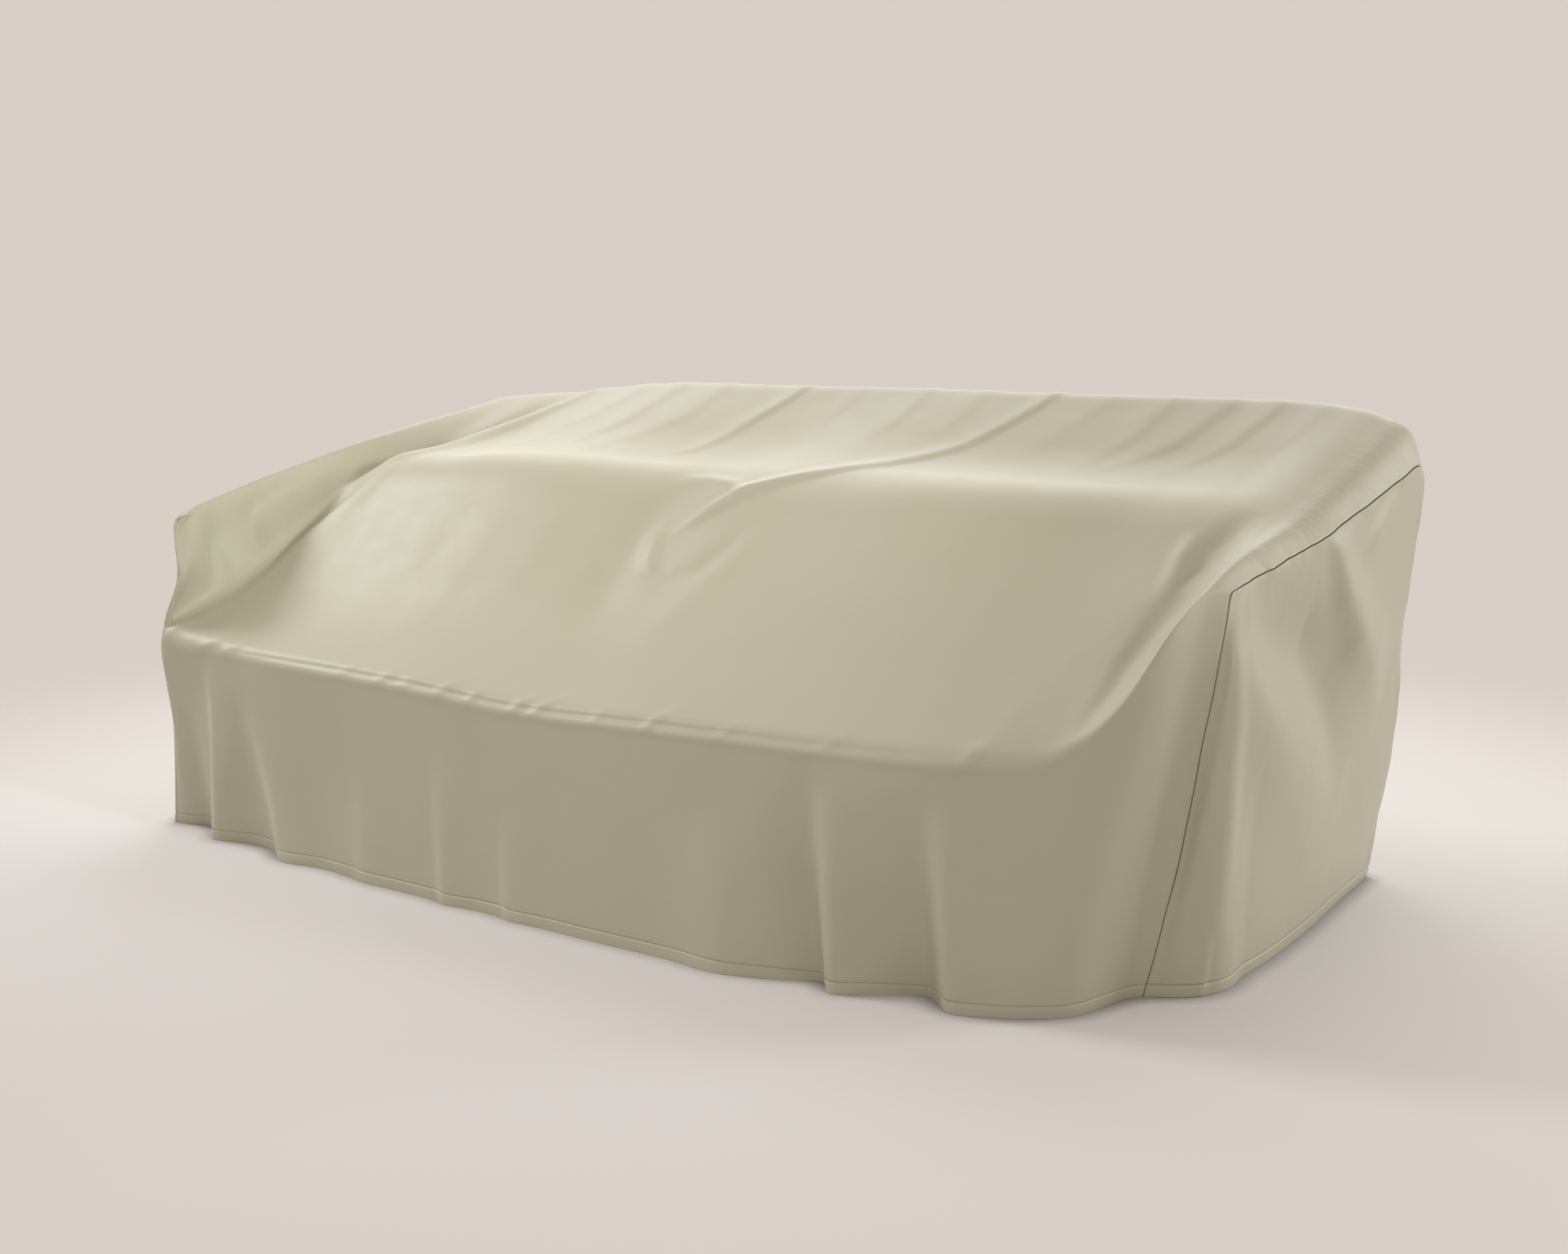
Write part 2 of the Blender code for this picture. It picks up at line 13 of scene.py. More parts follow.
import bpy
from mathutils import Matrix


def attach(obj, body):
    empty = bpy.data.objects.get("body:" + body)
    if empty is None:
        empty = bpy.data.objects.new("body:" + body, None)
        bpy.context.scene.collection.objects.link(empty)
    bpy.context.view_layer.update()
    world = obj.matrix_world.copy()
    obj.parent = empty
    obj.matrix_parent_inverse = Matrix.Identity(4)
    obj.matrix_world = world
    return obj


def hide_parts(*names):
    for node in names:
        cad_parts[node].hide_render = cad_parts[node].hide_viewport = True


bl_info = {
    "name": "Outdoor sofa cover",
    "version": (1, 0, 0),
    "blender": (4, 5, 0),
    "location": "View3D > Sidebar > Sofa cover",
    "description": "Builds a fitted outdoor sofa cover in creased, coated cloth",
    "category": "Object",
}

import bpy
import numpy as np
from bpy.props import FloatProperty, PointerProperty, StringProperty
from mathutils import Matrix, Vector

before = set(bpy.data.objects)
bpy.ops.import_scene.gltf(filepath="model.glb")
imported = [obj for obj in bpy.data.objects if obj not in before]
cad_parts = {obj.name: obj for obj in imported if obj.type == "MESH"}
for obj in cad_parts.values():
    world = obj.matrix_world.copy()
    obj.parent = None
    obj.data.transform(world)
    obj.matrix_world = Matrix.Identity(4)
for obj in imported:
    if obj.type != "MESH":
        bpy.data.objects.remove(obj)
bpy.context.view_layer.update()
BODY = "root"

MM = 0.001
RIGHT = 1
LEFT = -1

# ---------------------------------------------------------------------------------------------
# The drape: the lines, folds and swells of the cover
# ---------------------------------------------------------------------------------------------

# How far across the seams lie, the run of each line of the main panel from hem to hem, and the
# length of seam over the top of an end panel.
HALF_LENGTH = 1.13
HEM = 0.0
EDGE = 0.40
SEAT = 0.58
CREST = 1.06
SHELF = 1.24
BACK = 1.58
FOOT = 2.46
DEEP = BACK - EDGE

# The radius of the turn at each line, the strip beside a seam in which the folds die out, and the
# height above a hem below which the cloth settles to the floor.
TURNS = ((EDGE, 0.026), (SEAT, 0.14), (CREST, 0.080), (SHELF, 0.10), (BACK, 0.075))
SEAM_FADE = 0.04
HEM_SETTLES = 0.15

# The seven lines of the main panel, from the front hem over the top to the back hem.
# Each row is a place across the cloth, then x, y and z there.
FRONT_HEM = (
    (-1.13, -1.124, -0.387, 0.0),
    (-1.10, -1.124, -0.455, 0.0),
    (-1.05, -1.110, -0.468, 0.0),
    (-0.99, -1.055, -0.467, 0.0),
    (-0.90, -0.950, -0.476, 0.0),
    (-0.80, -0.840, -0.492, 0.0),
    (-0.66, -0.672, -0.525, 0.0),
    (-0.45, -0.450, -0.557, 0.0),
    (-0.15, -0.150, -0.572, 0.0),
    (0.10, 0.100, -0.587, 0.0),
    (0.40, 0.400, -0.581, 0.0),
    (0.65, 0.650, -0.552, 0.0),
    (0.80, 0.805, -0.523, 0.0),
    (0.92, 0.915, -0.497, 0.0),
    (1.00, 0.975, -0.441, 0.0),
    (1.06, 1.000, -0.340, 0.0),
    (1.10, 1.011, -0.314, 0.0),
    (1.13, 1.023, -0.300, 0.0),
)
FRONT_EDGE = (
    (-1.13, -1.140, -0.367, 0.605),
    (-1.10, -1.136, -0.425, 0.640),
    (-1.07, -1.120, -0.442, 0.540),
    (-1.04, -1.134, -0.454, 0.440),
    (-0.99, -1.100, -0.462, 0.402),
    (-0.90, -0.985, -0.470, 0.392),
    (-0.80, -0.860, -0.474, 0.388),
    (-0.66, -0.675, -0.477, 0.386),
    (-0.45, -0.450, -0.477, 0.382),
    (-0.15, -0.150, -0.477, 0.370),
    (0.10, 0.100, -0.477, 0.376),
    (0.40, 0.400, -0.477, 0.383),
    (0.65, 0.650, -0.477, 0.390),
    (0.80, 0.800, -0.477, 0.400),
    (0.92, 0.931, -0.448, 0.417),
    (1.00, 1.009, -0.398, 0.494),
    (1.06, 1.068, -0.332, 0.612),
    (1.10, 1.090, -0.249, 0.660),
    (1.13, 1.108, -0.207, 0.655),
)
SEAT_LINE = (
    (-1.13, -1.140, -0.240, 0.635),
    (-1.10, -1.131, -0.281, 0.681),
    (-1.07, -1.125, -0.290, 0.620),
    (-1.04, -1.110, -0.298, 0.520),
    (-0.99, -1.070, -0.302, 0.470),
    (-0.90, -0.955, -0.308, 0.460),
    (-0.80, -0.840, -0.310, 0.456),
    (-0.66, -0.668, -0.310, 0.453),
    (-0.45, -0.450, -0.310, 0.450),
    (-0.15, -0.150, -0.310, 0.436),
    (0.10, 0.100, -0.312, 0.446),
    (0.40, 0.400, -0.315, 0.458),
    (0.65, 0.650, -0.318, 0.474),
    (0.80, 0.800, -0.315, 0.484),
    (0.92, 0.930, -0.300, 0.511),
    (1.00, 1.004, -0.235, 0.565),
    (1.06, 1.065, -0.190, 0.665),
    (1.10, 1.091, -0.147, 0.698),
    (1.13, 1.114, -0.121, 0.668),
)
CUSHION_CREST = (
    (-1.13, -1.140, 0.098, 0.714),
    (-1.10, -1.116, 0.094, 0.760),
    (-1.07, -1.080, 0.080, 0.735),
    (-1.04, -1.030, 0.050, 0.700),
    (-0.99, -0.957, 0.015, 0.728),
    (-0.90, -0.885, 0.008, 0.738),
    (-0.80, -0.800, 0.000, 0.743),
    (-0.66, -0.660, 0.000, 0.755),
    (-0.45, -0.450, 0.010, 0.758),
    (-0.30, -0.300, 0.040, 0.750),
    (-0.15, -0.150, 0.080, 0.745),
    (0.00, 0.000, 0.065, 0.745),
    (0.10, 0.100, 0.075, 0.750),
    (0.40, 0.400, 0.070, 0.768),
    (0.65, 0.650, 0.090, 0.768),
    (0.80, 0.800, 0.110, 0.765),
    (0.92, 0.920, 0.100, 0.758),
    (1.06, 1.065, 0.101, 0.747),
    (1.10, 1.106, 0.107, 0.736),
    (1.13, 1.130, 0.109, 0.702),
)
SHELF_LINE = (
    (-1.13, -1.137, 0.263, 0.741),
    (-1.10, -1.112, 0.263, 0.786),
    (-1.07, -1.078, 0.255, 0.768),
    (-1.04, -1.030, 0.235, 0.735),
    (-0.99, -0.950, 0.205, 0.735),
    (-0.90, -0.875, 0.185, 0.752),
    (-0.80, -0.792, 0.170, 0.754),
    (-0.66, -0.660, 0.165, 0.768),
    (-0.45, -0.450, 0.175, 0.774),
    (-0.30, -0.300, 0.215, 0.766),
    (-0.15, -0.150, 0.250, 0.768),
    (0.10, 0.100, 0.245, 0.786),
    (0.40, 0.400, 0.250, 0.771),
    (0.65, 0.650, 0.268, 0.768),
    (0.80, 0.800, 0.280, 0.774),
    (0.92, 0.920, 0.270, 0.784),
    (1.06, 1.066, 0.263, 0.794),
    (1.10, 1.112, 0.263, 0.774),
    (1.13, 1.137, 0.263, 0.732),
)
BACK_EDGE = (
    (-1.13, -1.130, 0.603, 0.790),
    (-1.10, -1.105, 0.603, 0.832),
    (-1.05, -1.050, 0.603, 0.856),
    (-0.99, -0.980, 0.603, 0.866),
    (-0.90, -0.875, 0.603, 0.872),
    (-0.66, -0.660, 0.603, 0.900),
    (-0.15, -0.150, 0.603, 0.915),
    (0.40, 0.400, 0.603, 0.922),
    (0.80, 0.800, 0.603, 0.927),
    (0.92, 0.920, 0.603, 0.925),
    (1.00, 1.000, 0.603, 0.917),
    (1.06, 1.068, 0.603, 0.902),
    (1.10, 1.124, 0.603, 0.872),
    (1.13, 1.148, 0.603, 0.808),
)
BACK_HEM = (
    (-1.13, -1.085, 0.563, 0.0),
    (-1.05, -1.020, 0.563, 0.0),
    (-0.90, -0.870, 0.553, 0.0),
    (-0.66, -0.660, 0.553, 0.0),
    (0.65, 0.650, 0.553, 0.0),
    (0.80, 0.790, 0.553, 0.0),
    (0.92, 0.900, 0.563, 0.0),
    (1.13, 1.078, 0.563, 0.0),
)
LINES = (
    (HEM, FRONT_HEM),
    (EDGE, FRONT_EDGE),
    (SEAT, SEAT_LINE),
    (CREST, CUSHION_CREST),
    (SHELF, SHELF_LINE),
    (BACK, BACK_EDGE),
    (FOOT, BACK_HEM),
)

# The main folds. Each row of a fold is a point of its path: the place across and up the cloth,
# the height there, and the width to the left and to the right of the path.
FOLDS = {
    "crease over the right cushion": (
        (0.415, 1.64, 0.000, 0.010, 0.034),
        (0.405, 1.55, 0.003, 0.009, 0.032),
        (0.39, 1.48, 0.004, 0.009, 0.030),
        (0.36, 1.40, 0.004, 0.009, 0.030),
        (0.32, 1.31, 0.004, 0.009, 0.032),
        (0.27, 1.24, 0.005, 0.010, 0.034),
        (0.22, 1.18, 0.005, 0.010, 0.034),
        (0.13, 1.11, 0.006, 0.011, 0.032),
        (0.06, 1.07, 0.009, 0.012, 0.028),
        (0.00, 1.03, 0.013, 0.013, 0.025),
        (-0.06, 0.96, 0.013, 0.013, 0.021),
        (-0.12, 0.90, 0.002, 0.014, 0.018),
    ),
    "crease over the middle": (
        (-0.20, 1.64, 0.000, 0.010, 0.034),
        (-0.20, 1.55, 0.003, 0.009, 0.030),
        (-0.213, 1.46, 0.004, 0.009, 0.028),
        (-0.235, 1.38, 0.004, 0.009, 0.028),
        (-0.25, 1.30, 0.003, 0.009, 0.030),
        (-0.275, 1.24, 0.002, 0.012, 0.032),
        (-0.33, 1.19, 0.000, 0.016, 0.036),
    ),
    "left edge of the cushions": (
        (-1.060, 0.30, 0.000, 0.020, 0.034),
        (-1.010, 0.38, 0.007, 0.018, 0.050),
        (-0.978, 0.45, 0.009, 0.018, 0.080),
        (-0.968, 0.55, 0.010, 0.018, 0.090),
        (-0.970, 0.68, 0.009, 0.018, 0.090),
        (-0.975, 0.80, 0.008, 0.020, 0.080),
        (-0.965, 0.92, 0.005, 0.024, 0.060),
        (-0.945, 1.03, 0.000, 0.026, 0.050),
    ),
    "cushion beside the left arm": (
        (-1.040, 0.56, 0.000, 0.014, 0.018),
        (-1.042, 0.68, 0.009, 0.014, 0.018),
        (-1.042, 0.80, 0.013, 0.014, 0.020),
        (-1.040, 0.92, 0.015, 0.016, 0.022),
        (-1.020, 1.06, 0.015, 0.020, 0.028),
        (-0.950, 1.20, 0.015, 0.024, 0.038),
        (-0.870, 1.35, 0.012, 0.026, 0.042),
        (-0.800, 1.52, 0.004, 0.028, 0.044),
        (-0.780, 1.62, 0.000, 0.028, 0.044),
    ),
    "hollow inside the left arm": (
        (-1.064, 0.44, 0.000, 0.014, 0.018),
        (-1.066, 0.58, -0.006, 0.014, 0.018),
        (-1.070, 0.80, -0.012, 0.014, 0.016),
        (-1.068, 0.95, -0.016, 0.016, 0.018),
        (-1.050, 1.10, -0.020, 0.022, 0.024),
        (-1.010, 1.25, -0.024, 0.030, 0.034),
        (-0.945, 1.38, -0.020, 0.040, 0.040),
        (-0.880, 1.52, 0.000, 0.044, 0.044),
    ),
    "slot between the two": (
        (-1.004, 0.50, 0.000, 0.016, 0.016),
        (-1.006, 0.66, -0.006, 0.016, 0.016),
        (-1.010, 0.80, -0.008, 0.016, 0.016),
        (-1.000, 0.92, -0.004, 0.016, 0.018),
        (-0.985, 1.02, 0.000, 0.016, 0.018),
    ),
    "pocket in the left arm": (
        (-1.074, 0.495, -0.006, 0.014, 0.014),
        (-1.062, 0.530, -0.018, 0.017, 0.016),
        (-1.050, 0.562, -0.006, 0.014, 0.014),
    ),
    "second pocket in the left arm": (
        (-1.068, 0.630, -0.002, 0.009, 0.010),
        (-1.058, 0.665, -0.010, 0.012, 0.012),
        (-1.050, 0.700, -0.001, 0.009, 0.010),
    ),
    "fold down the left arm's front": (
        (-1.086, 0.470, 0.000, 0.008, 0.010),
        (-1.076, 0.448, 0.007, 0.008, 0.011),
        (-1.060, 0.425, 0.007, 0.008, 0.011),
        (-1.035, 0.412, 0.000, 0.008, 0.011),
    ),
    "rounding of the left arm's front": (
        (-1.130, 0.424, -0.017, 0.030, 0.030),
        (-1.090, 0.424, -0.014, 0.030, 0.030),
        (-1.060, 0.424, 0.000, 0.030, 0.030),
    ),
    "valley between the cushions": (
        (-0.17, 1.03, 0.000, 0.050, 0.040),
        (-0.20, 0.95, -0.008, 0.042, 0.036),
        (-0.20, 0.86, -0.010, 0.042, 0.040),
        (-0.18, 0.74, -0.006, 0.044, 0.050),
        (-0.15, 0.62, 0.000, 0.050, 0.060),
    ),
    "pocket beside the crease": (
        (-0.20, 1.05, 0.000, 0.020, 0.016),
        (-0.13, 1.052, 0.006, 0.022, 0.014),
        (-0.06, 1.045, 0.007, 0.022, 0.014),
        (0.00, 1.015, 0.000, 0.020, 0.014),
    ),
    "fold hanging from the crease": (
        (-0.155, 0.94, 0.000, 0.012, 0.020),
        (-0.148, 0.88, 0.007, 0.012, 0.022),
        (-0.128, 0.83, 0.006, 0.012, 0.024),
        (-0.100, 0.79, 0.000, 0.014, 0.026),
    ),
    "hook under the valley": (
        (-0.12, 0.81, -0.002, 0.028, 0.024),
        (-0.06, 0.785, -0.006, 0.028, 0.022),
        (0.00, 0.815, -0.007, 0.028, 0.022),
        (0.04, 0.88, -0.005, 0.028, 0.022),
        (0.05, 0.95, 0.000, 0.028, 0.022),
    ),
    "swell beside the valley": (
        (0.055, 0.92, 0.000, 0.028, 0.020),
        (0.050, 0.84, 0.004, 0.034, 0.022),
        (0.030, 0.75, 0.004, 0.050, 0.030),
        (-0.01, 0.66, 0.003, 0.060, 0.045),
        (-0.06, 0.56, 0.000, 0.070, 0.060),
    ),
    "first stripe on the left cushion": (
        (-0.66, 1.02, 0.000, 0.026, 0.050),
        (-0.665, 0.88, 0.0013, 0.030, 0.055),
        (-0.67, 0.72, 0.0009, 0.032, 0.055),
        (-0.68, 0.56, 0.000, 0.030, 0.050),
    ),
    "second stripe on the left cushion": (
        (-0.52, 0.96, 0.000, 0.030, 0.050),
        (-0.53, 0.80, 0.0012, 0.032, 0.055),
        (-0.55, 0.62, 0.0013, 0.036, 0.060),
        (-0.58, 0.46, 0.000, 0.034, 0.055),
    ),
    "third stripe on the left cushion": (
        (-0.37, 1.02, 0.000, 0.026, 0.045),
        (-0.38, 0.88, 0.0014, 0.030, 0.050),
        (-0.40, 0.74, 0.0009, 0.032, 0.055),
        (-0.43, 0.58, 0.000, 0.030, 0.050),
    ),
    "ridge inside the right arm": (
        (0.935, 0.98, 0.000, 0.012, 0.020),
        (0.944, 0.91, 0.009, 0.012, 0.020),
        (0.950, 0.83, 0.009, 0.013, 0.020),
        (0.958, 0.76, 0.000, 0.016, 0.022),
    ),
    "recess inside the right arm": (
        (0.975, 0.78, 0.000, 0.022, 0.026),
        (0.975, 0.86, -0.010, 0.020, 0.030),
        (0.985, 0.94, -0.012, 0.022, 0.032),
        (1.000, 1.01, -0.004, 0.024, 0.034),
        (1.010, 1.05, 0.000, 0.024, 0.034),
    ),
    "band behind the right corner": (
        (0.945, 0.44, -0.002, 0.018, 0.030),
        (0.950, 0.52, -0.006, 0.018, 0.030),
        (0.950, 0.62, -0.007, 0.020, 0.034),
        (0.962, 0.72, -0.004, 0.022, 0.034),
        (0.975, 0.80, 0.000, 0.024, 0.034),
    ),
    "hem fold at the left corner": (
        (-0.890, 0.38, 0.000, 0.060, 0.018),
        (-0.893, 0.20, 0.026, 0.060, 0.018),
        (-0.898, 0.00, 0.040, 0.065, 0.018),
    ),
    "hem dip at the left corner": (
        (-0.965, 0.32, 0.000, 0.030, 0.030),
        (-0.970, 0.15, -0.010, 0.030, 0.030),
        (-0.975, 0.00, -0.016, 0.030, 0.030),
    ),
}

# The pulls over the top of the back, from its edge forward. Columns: place across at the back,
# place across and up the cloth at the middle, height there, place across and up at the end.
PULLS = (
    (-0.80, -0.840, 1.36, 0.0026, -0.92, 1.16),
    (-0.63, -0.640, 1.38, 0.0018, -0.73, 1.18),
    (-0.52, -0.520, 1.36, 0.0032, -0.57, 1.14),
    (-0.40, -0.395, 1.38, 0.0022, -0.50, 1.16),
    (-0.06, -0.055, 1.42, 0.0012, -0.07, 1.26),
    (0.11, 0.115, 1.38, 0.0020, 0.10, 1.22),
    (0.24, 0.245, 1.42, 0.0016, 0.22, 1.28),
    (0.53, 0.500, 1.42, 0.0012, 0.46, 1.28),
    (0.66, 0.640, 1.38, 0.0022, 0.56, 1.18),
    (0.78, 0.735, 1.36, 0.0026, 0.56, 1.16),
    (0.88, 0.845, 1.36, 0.0026, 0.72, 1.16),
    (0.97, 0.950, 1.38, 0.0014, 0.91, 1.24),
)
PULLS_FROM = 1.62
PULLS_FULL = 1.50
PULL_WIDTHS = (0.013, 0.042)

# The flares of the front skirt and the back one, from nothing at the top to their full height at
# the hem. Columns: place across and up the cloth at the top, place across at the hem, height
# there, and width towards the right end and towards the left end.
FRONT_FLARES = (
    (-0.82, 0.38, -0.69, 0.034, 0.060, 0.034),
    (-0.53, 0.26, -0.48, 0.008, 0.060, 0.020),
    (-0.335, 0.30, -0.255, 0.012, 0.050, 0.014),
    (-0.14, 0.20, -0.09, 0.009, 0.060, 0.016),
    (0.32, 0.26, 0.38, 0.020, 0.070, 0.075),
    (0.485, 0.38, 0.560, -0.034, 0.024, 0.055),
    (0.52, 0.34, 0.592, 0.022, 0.050, 0.018),
    (0.70, 0.34, 0.735, -0.044, 0.030, 0.070),
    (0.745, 0.32, 0.795, 0.026, 0.090, 0.018),
)
BACK_FLARES = (
    (-0.70, 2.00, -0.74, 0.020, 0.080, 0.080),
    (-0.22, 1.95, -0.20, -0.018, 0.080, 0.080),
    (0.20, 1.90, 0.24, 0.022, 0.080, 0.080),
    (0.66, 2.00, 0.68, 0.018, 0.080, 0.080),
)
HALFWAY_HEIGHT = 0.57

# Broad swells of the whole cover. Columns: x, y and z of the centre, the reach along each axis,
# and the push along each axis.
SWELLS = (
    (-1.13, -0.467, 0.34, 0.16, 0.16, 0.10, -0.014, -0.006, 0.0),
    (-1.13, -0.440, 0.53, 0.10, 0.14, 0.06, 0.016, 0.000, 0.0),
    (1.13, 0.593, 0.24, 0.20, 0.30, 0.18, 0.013, 0.010, 0.0),
    (-1.13, 0.593, 0.24, 0.20, 0.30, 0.18, -0.013, 0.010, 0.0),
)

# The hem of each end panel. Columns: share of the way from its front corner to its back one, and
# how far it stands out from the straight line between them.
RIGHT_HEM = (
    (0.00, 0.000),
    (0.03, 0.034),
    (0.07, 0.070),
    (0.23, 0.079),
    (0.50, 0.062),
    (0.80, 0.024),
    (1.00, 0.000),
)
LEFT_HEM = (
    (0.00, 0.000),
    (0.10, 0.020),
    (0.25, 0.030),
    (0.50, 0.035),
    (0.80, 0.020),
    (1.00, 0.000),
)

# Folds in the end panels, with the columns of FOLDS.
RIGHT_FOLDS = {
    "front corner": (
        (0.05, 0.62, 0.000, 0.050, 0.080),
        (0.065, 0.52, 0.014, 0.045, 0.130),
        (0.080, 0.30, 0.022, 0.050, 0.160),
        (0.085, 0.12, 0.012, 0.050, 0.160),
    ),
    "long diagonal": (
        (0.12, 0.56, 0.000, 0.060, 0.080),
        (0.17, 0.47, 0.016, 0.070, 0.090),
        (0.27, 0.40, 0.022, 0.080, 0.100),
        (0.42, 0.33, 0.018, 0.090, 0.110),
        (0.62, 0.24, 0.010, 0.100, 0.120),
        (0.85, 0.16, 0.000, 0.100, 0.120),
    ),
    "hollow under the arm": (
        (0.14, 0.62, 0.000, 0.060, 0.050),
        (0.30, 0.54, -0.012, 0.070, 0.060),
        (0.46, 0.49, -0.022, 0.080, 0.070),
        (0.62, 0.46, -0.030, 0.080, 0.080),
        (0.73, 0.38, -0.026, 0.070, 0.080),
        (0.84, 0.22, 0.000, 0.070, 0.070),
    ),
    "rear fold": (
        (0.71, 0.65, 0.003, 0.036, 0.030),
        (0.74, 0.59, 0.011, 0.045, 0.030),
        (0.78, 0.52, 0.020, 0.055, 0.036),
        (0.85, 0.45, 0.026, 0.070, 0.044),
        (0.95, 0.38, 0.018, 0.080, 0.055),
        (1.05, 0.29, 0.000, 0.080, 0.060),
    ),
    "small fold by the seam": (
        (0.86, 0.56, 0.000, 0.022, 0.026),
        (0.93, 0.58, 0.008, 0.022, 0.026),
        (0.99, 0.61, 0.004, 0.022, 0.026),
    ),
}
LEFT_FOLDS = {
    "front corner": (
        (0.08, 0.55, 0.000, 0.080, 0.055),
        (0.11, 0.30, 0.014, 0.110, 0.055),
        (0.11, 0.00, 0.004, 0.136, 0.055),
    ),
    "middle dip": (
        (0.55, 0.66, 0.000, 0.095, 0.095),
        (0.59, 0.40, -0.014, 0.120, 0.120),
        (0.63, 0.10, -0.004, 0.136, 0.136),
    ),
    "rear fold": (
        (0.85, 0.70, 0.000, 0.055, 0.055),
        (0.90, 0.45, 0.014, 0.080, 0.080),
        (0.96, 0.20, 0.004, 0.110, 0.110),
    ),
}

# Each end panel: its node, its side, its hem and its folds.
ENDS = (
    ("end_panel_right", RIGHT, RIGHT_HEM, RIGHT_FOLDS),
    ("end_panel_left", LEFT, LEFT_HEM, LEFT_FOLDS),
)

# How a seam wanders: a bow up each front, and waves. Below the edge it goes sideways and backwards
# by these shares. Columns: height, length and start of each wave, the start in waves.
SEAM_BOW = 0.013
SEAM_SIDEWAYS = 0.75
SEAM_BACKWARDS = 0.66
WANDER = (
    (0.0016, 0.34, 0.10),
    (0.0010, 0.19, 0.45),
    (0.0005, 0.083, 0.70),
)

# ---------------------------------------------------------------------------------------------
# The fine creases that only the looks have, with the columns of FOLDS
# ---------------------------------------------------------------------------------------------

CREASES = {
    "roll along the seat edge": (
        (-0.97, 0.380, 0.0000, 0.010, 0.008),
        (-0.86, 0.383, 0.0008, 0.010, 0.008),
        (-0.55, 0.382, 0.0011, 0.009, 0.008),
        (-0.20, 0.380, 0.0012, 0.009, 0.008),
        (0.10, 0.381, 0.0018, 0.009, 0.008),
        (0.50, 0.382, 0.0020, 0.010, 0.008),
        (0.80, 0.384, 0.0014, 0.011, 0.009),
        (0.92, 0.386, 0.0000, 0.012, 0.010),
    ),
    "groove over the roll": (
        (-0.90, 0.401, 0.0000, 0.007, 0.007),
        (-0.70, 0.402, -0.0020, 0.007, 0.007),
        (-0.40, 0.401, -0.0028, 0.007, 0.007),
        (-0.10, 0.399, -0.0026, 0.007, 0.007),
        (0.20, 0.401, -0.0030, 0.007, 0.007),
        (0.55, 0.401, -0.0018, 0.008, 0.008),
        (0.80, 0.402, 0.0000, 0.008, 0.008),
    ),
}

# Short puckers that fan out from the seat edge. Columns: place across at the edge, place across
# and run where it fades out, height, and width.
PUCKERS = (
    (-0.91, -0.86, 0.47, 0.0042, 0.012),
    (-0.86, -0.83, 0.45, 0.0036, 0.010),
    (-0.60, -0.57, 0.44, 0.0022, 0.010),
    (-0.50, -0.46, 0.44, 0.0034, 0.010),
    (-0.44, -0.42, 0.43, 0.0025, 0.009),
    (-0.35, -0.31, 0.45, 0.0036, 0.011),
    (-0.27, -0.25, 0.44, 0.0031, 0.010),
    (-0.16, -0.12, 0.46, 0.0036, 0.011),
    (-0.11, -0.05, 0.47, 0.0031, 0.010),
    (0.03, 0.05, 0.43, 0.0022, 0.010),
    (0.15, 0.19, 0.45, 0.0034, 0.011),
    (0.31, 0.33, 0.43, 0.0020, 0.010),
    (0.52, 0.55, 0.44, 0.0020, 0.012),
    (0.79, 0.82, 0.47, 0.0031, 0.012),
)
PUCKERS_FROM = 0.376
PUCKERS_FULL = 0.396

# ---------------------------------------------------------------------------------------------
# Hems, seams and stitches
# ---------------------------------------------------------------------------------------------

# The height over which the doubled hem ends, the step by which a seam's directions are taken, and
# how many seam rolls wide the strip is that is drawn back from a seam.
HEM_STEP = 2 * MM
SEAM_STEP = 2 * MM
DRAWN_ROLLS = 4

# The hem's stitching: how far from a seam it starts on the main panel, the step of its line there,
# and the columns of an end panel's grid that it leaves bare at each end.
STITCH_STARTS = 6 * MM
STITCH_LINE = 2 * MM
STITCH_SKIPS = 2

# One stitch: shares of half its length and of its radius at each ring. It closes to a point at
# each end.
STITCH_RINGS = ((-0.80, 0.70), (0.0, 1.0), (0.80, 0.70))
STITCH_SIDES = 6

# ---------------------------------------------------------------------------------------------
# The grid's ruling: each stretch ends at a place and is ruled at about a spacing up to there
# ---------------------------------------------------------------------------------------------

# A stretch isn't given one more step for less than this part of a step.
RULING_SLACK = 0.01

MAIN_ACROSS = (
    (-1.1260, 0.0008),
    (-1.110, 0.0040),
    (-0.930, 0.0066),
    (-0.70, 0.0098),
    (-0.30, 0.0125),
    (0.45, 0.0095),
    (0.86, 0.0125),
    (1.00, 0.0085),
    (1.110, 0.0060),
    (1.1260, 0.0040),
    (1.13, 0.0008),
)

# The heights of a hem's rows, and the main panel's walls: their tops' runs and their spacings.
HEM_RISE = ((0.002, 0.001), (0.017, 0.005), (0.024, 0.0012), (0.034, 0.005))
FRONT_WALL_TOP = 0.36
BACK_WALL_TOP = 1.68
FRONT_WALL = 0.018
BACK_WALL = 0.035

# The main panel's ruling between its walls.
MAIN_OVER = (
    (0.372, 0.0060),
    (0.412, 0.0034),
    (0.43, 0.0060),
    (0.62, 0.0140),
    (1.56, 0.0104),
    (BACK_WALL_TOP, 0.0120),
)

# The end panels' ruling, along from the front edge and up from the hem.
END_ALONG = ((0.004, 0.0008), (0.020, 0.004), (1.160, 0.009), (1.176, 0.004), (1.18, 0.0008))
END_UP = ((0.63, 0.010), (0.646, 0.004), (0.650, 0.0008))

# ---------------------------------------------------------------------------------------------
# The studio
# ---------------------------------------------------------------------------------------------

# The floor's disc, and how far from its middle it starts and ends to fade out.
FLOOR_SIDES = 96
FLOOR_RADIUS = 6.0
FLOOR_FADES = (1.2, 2.9)

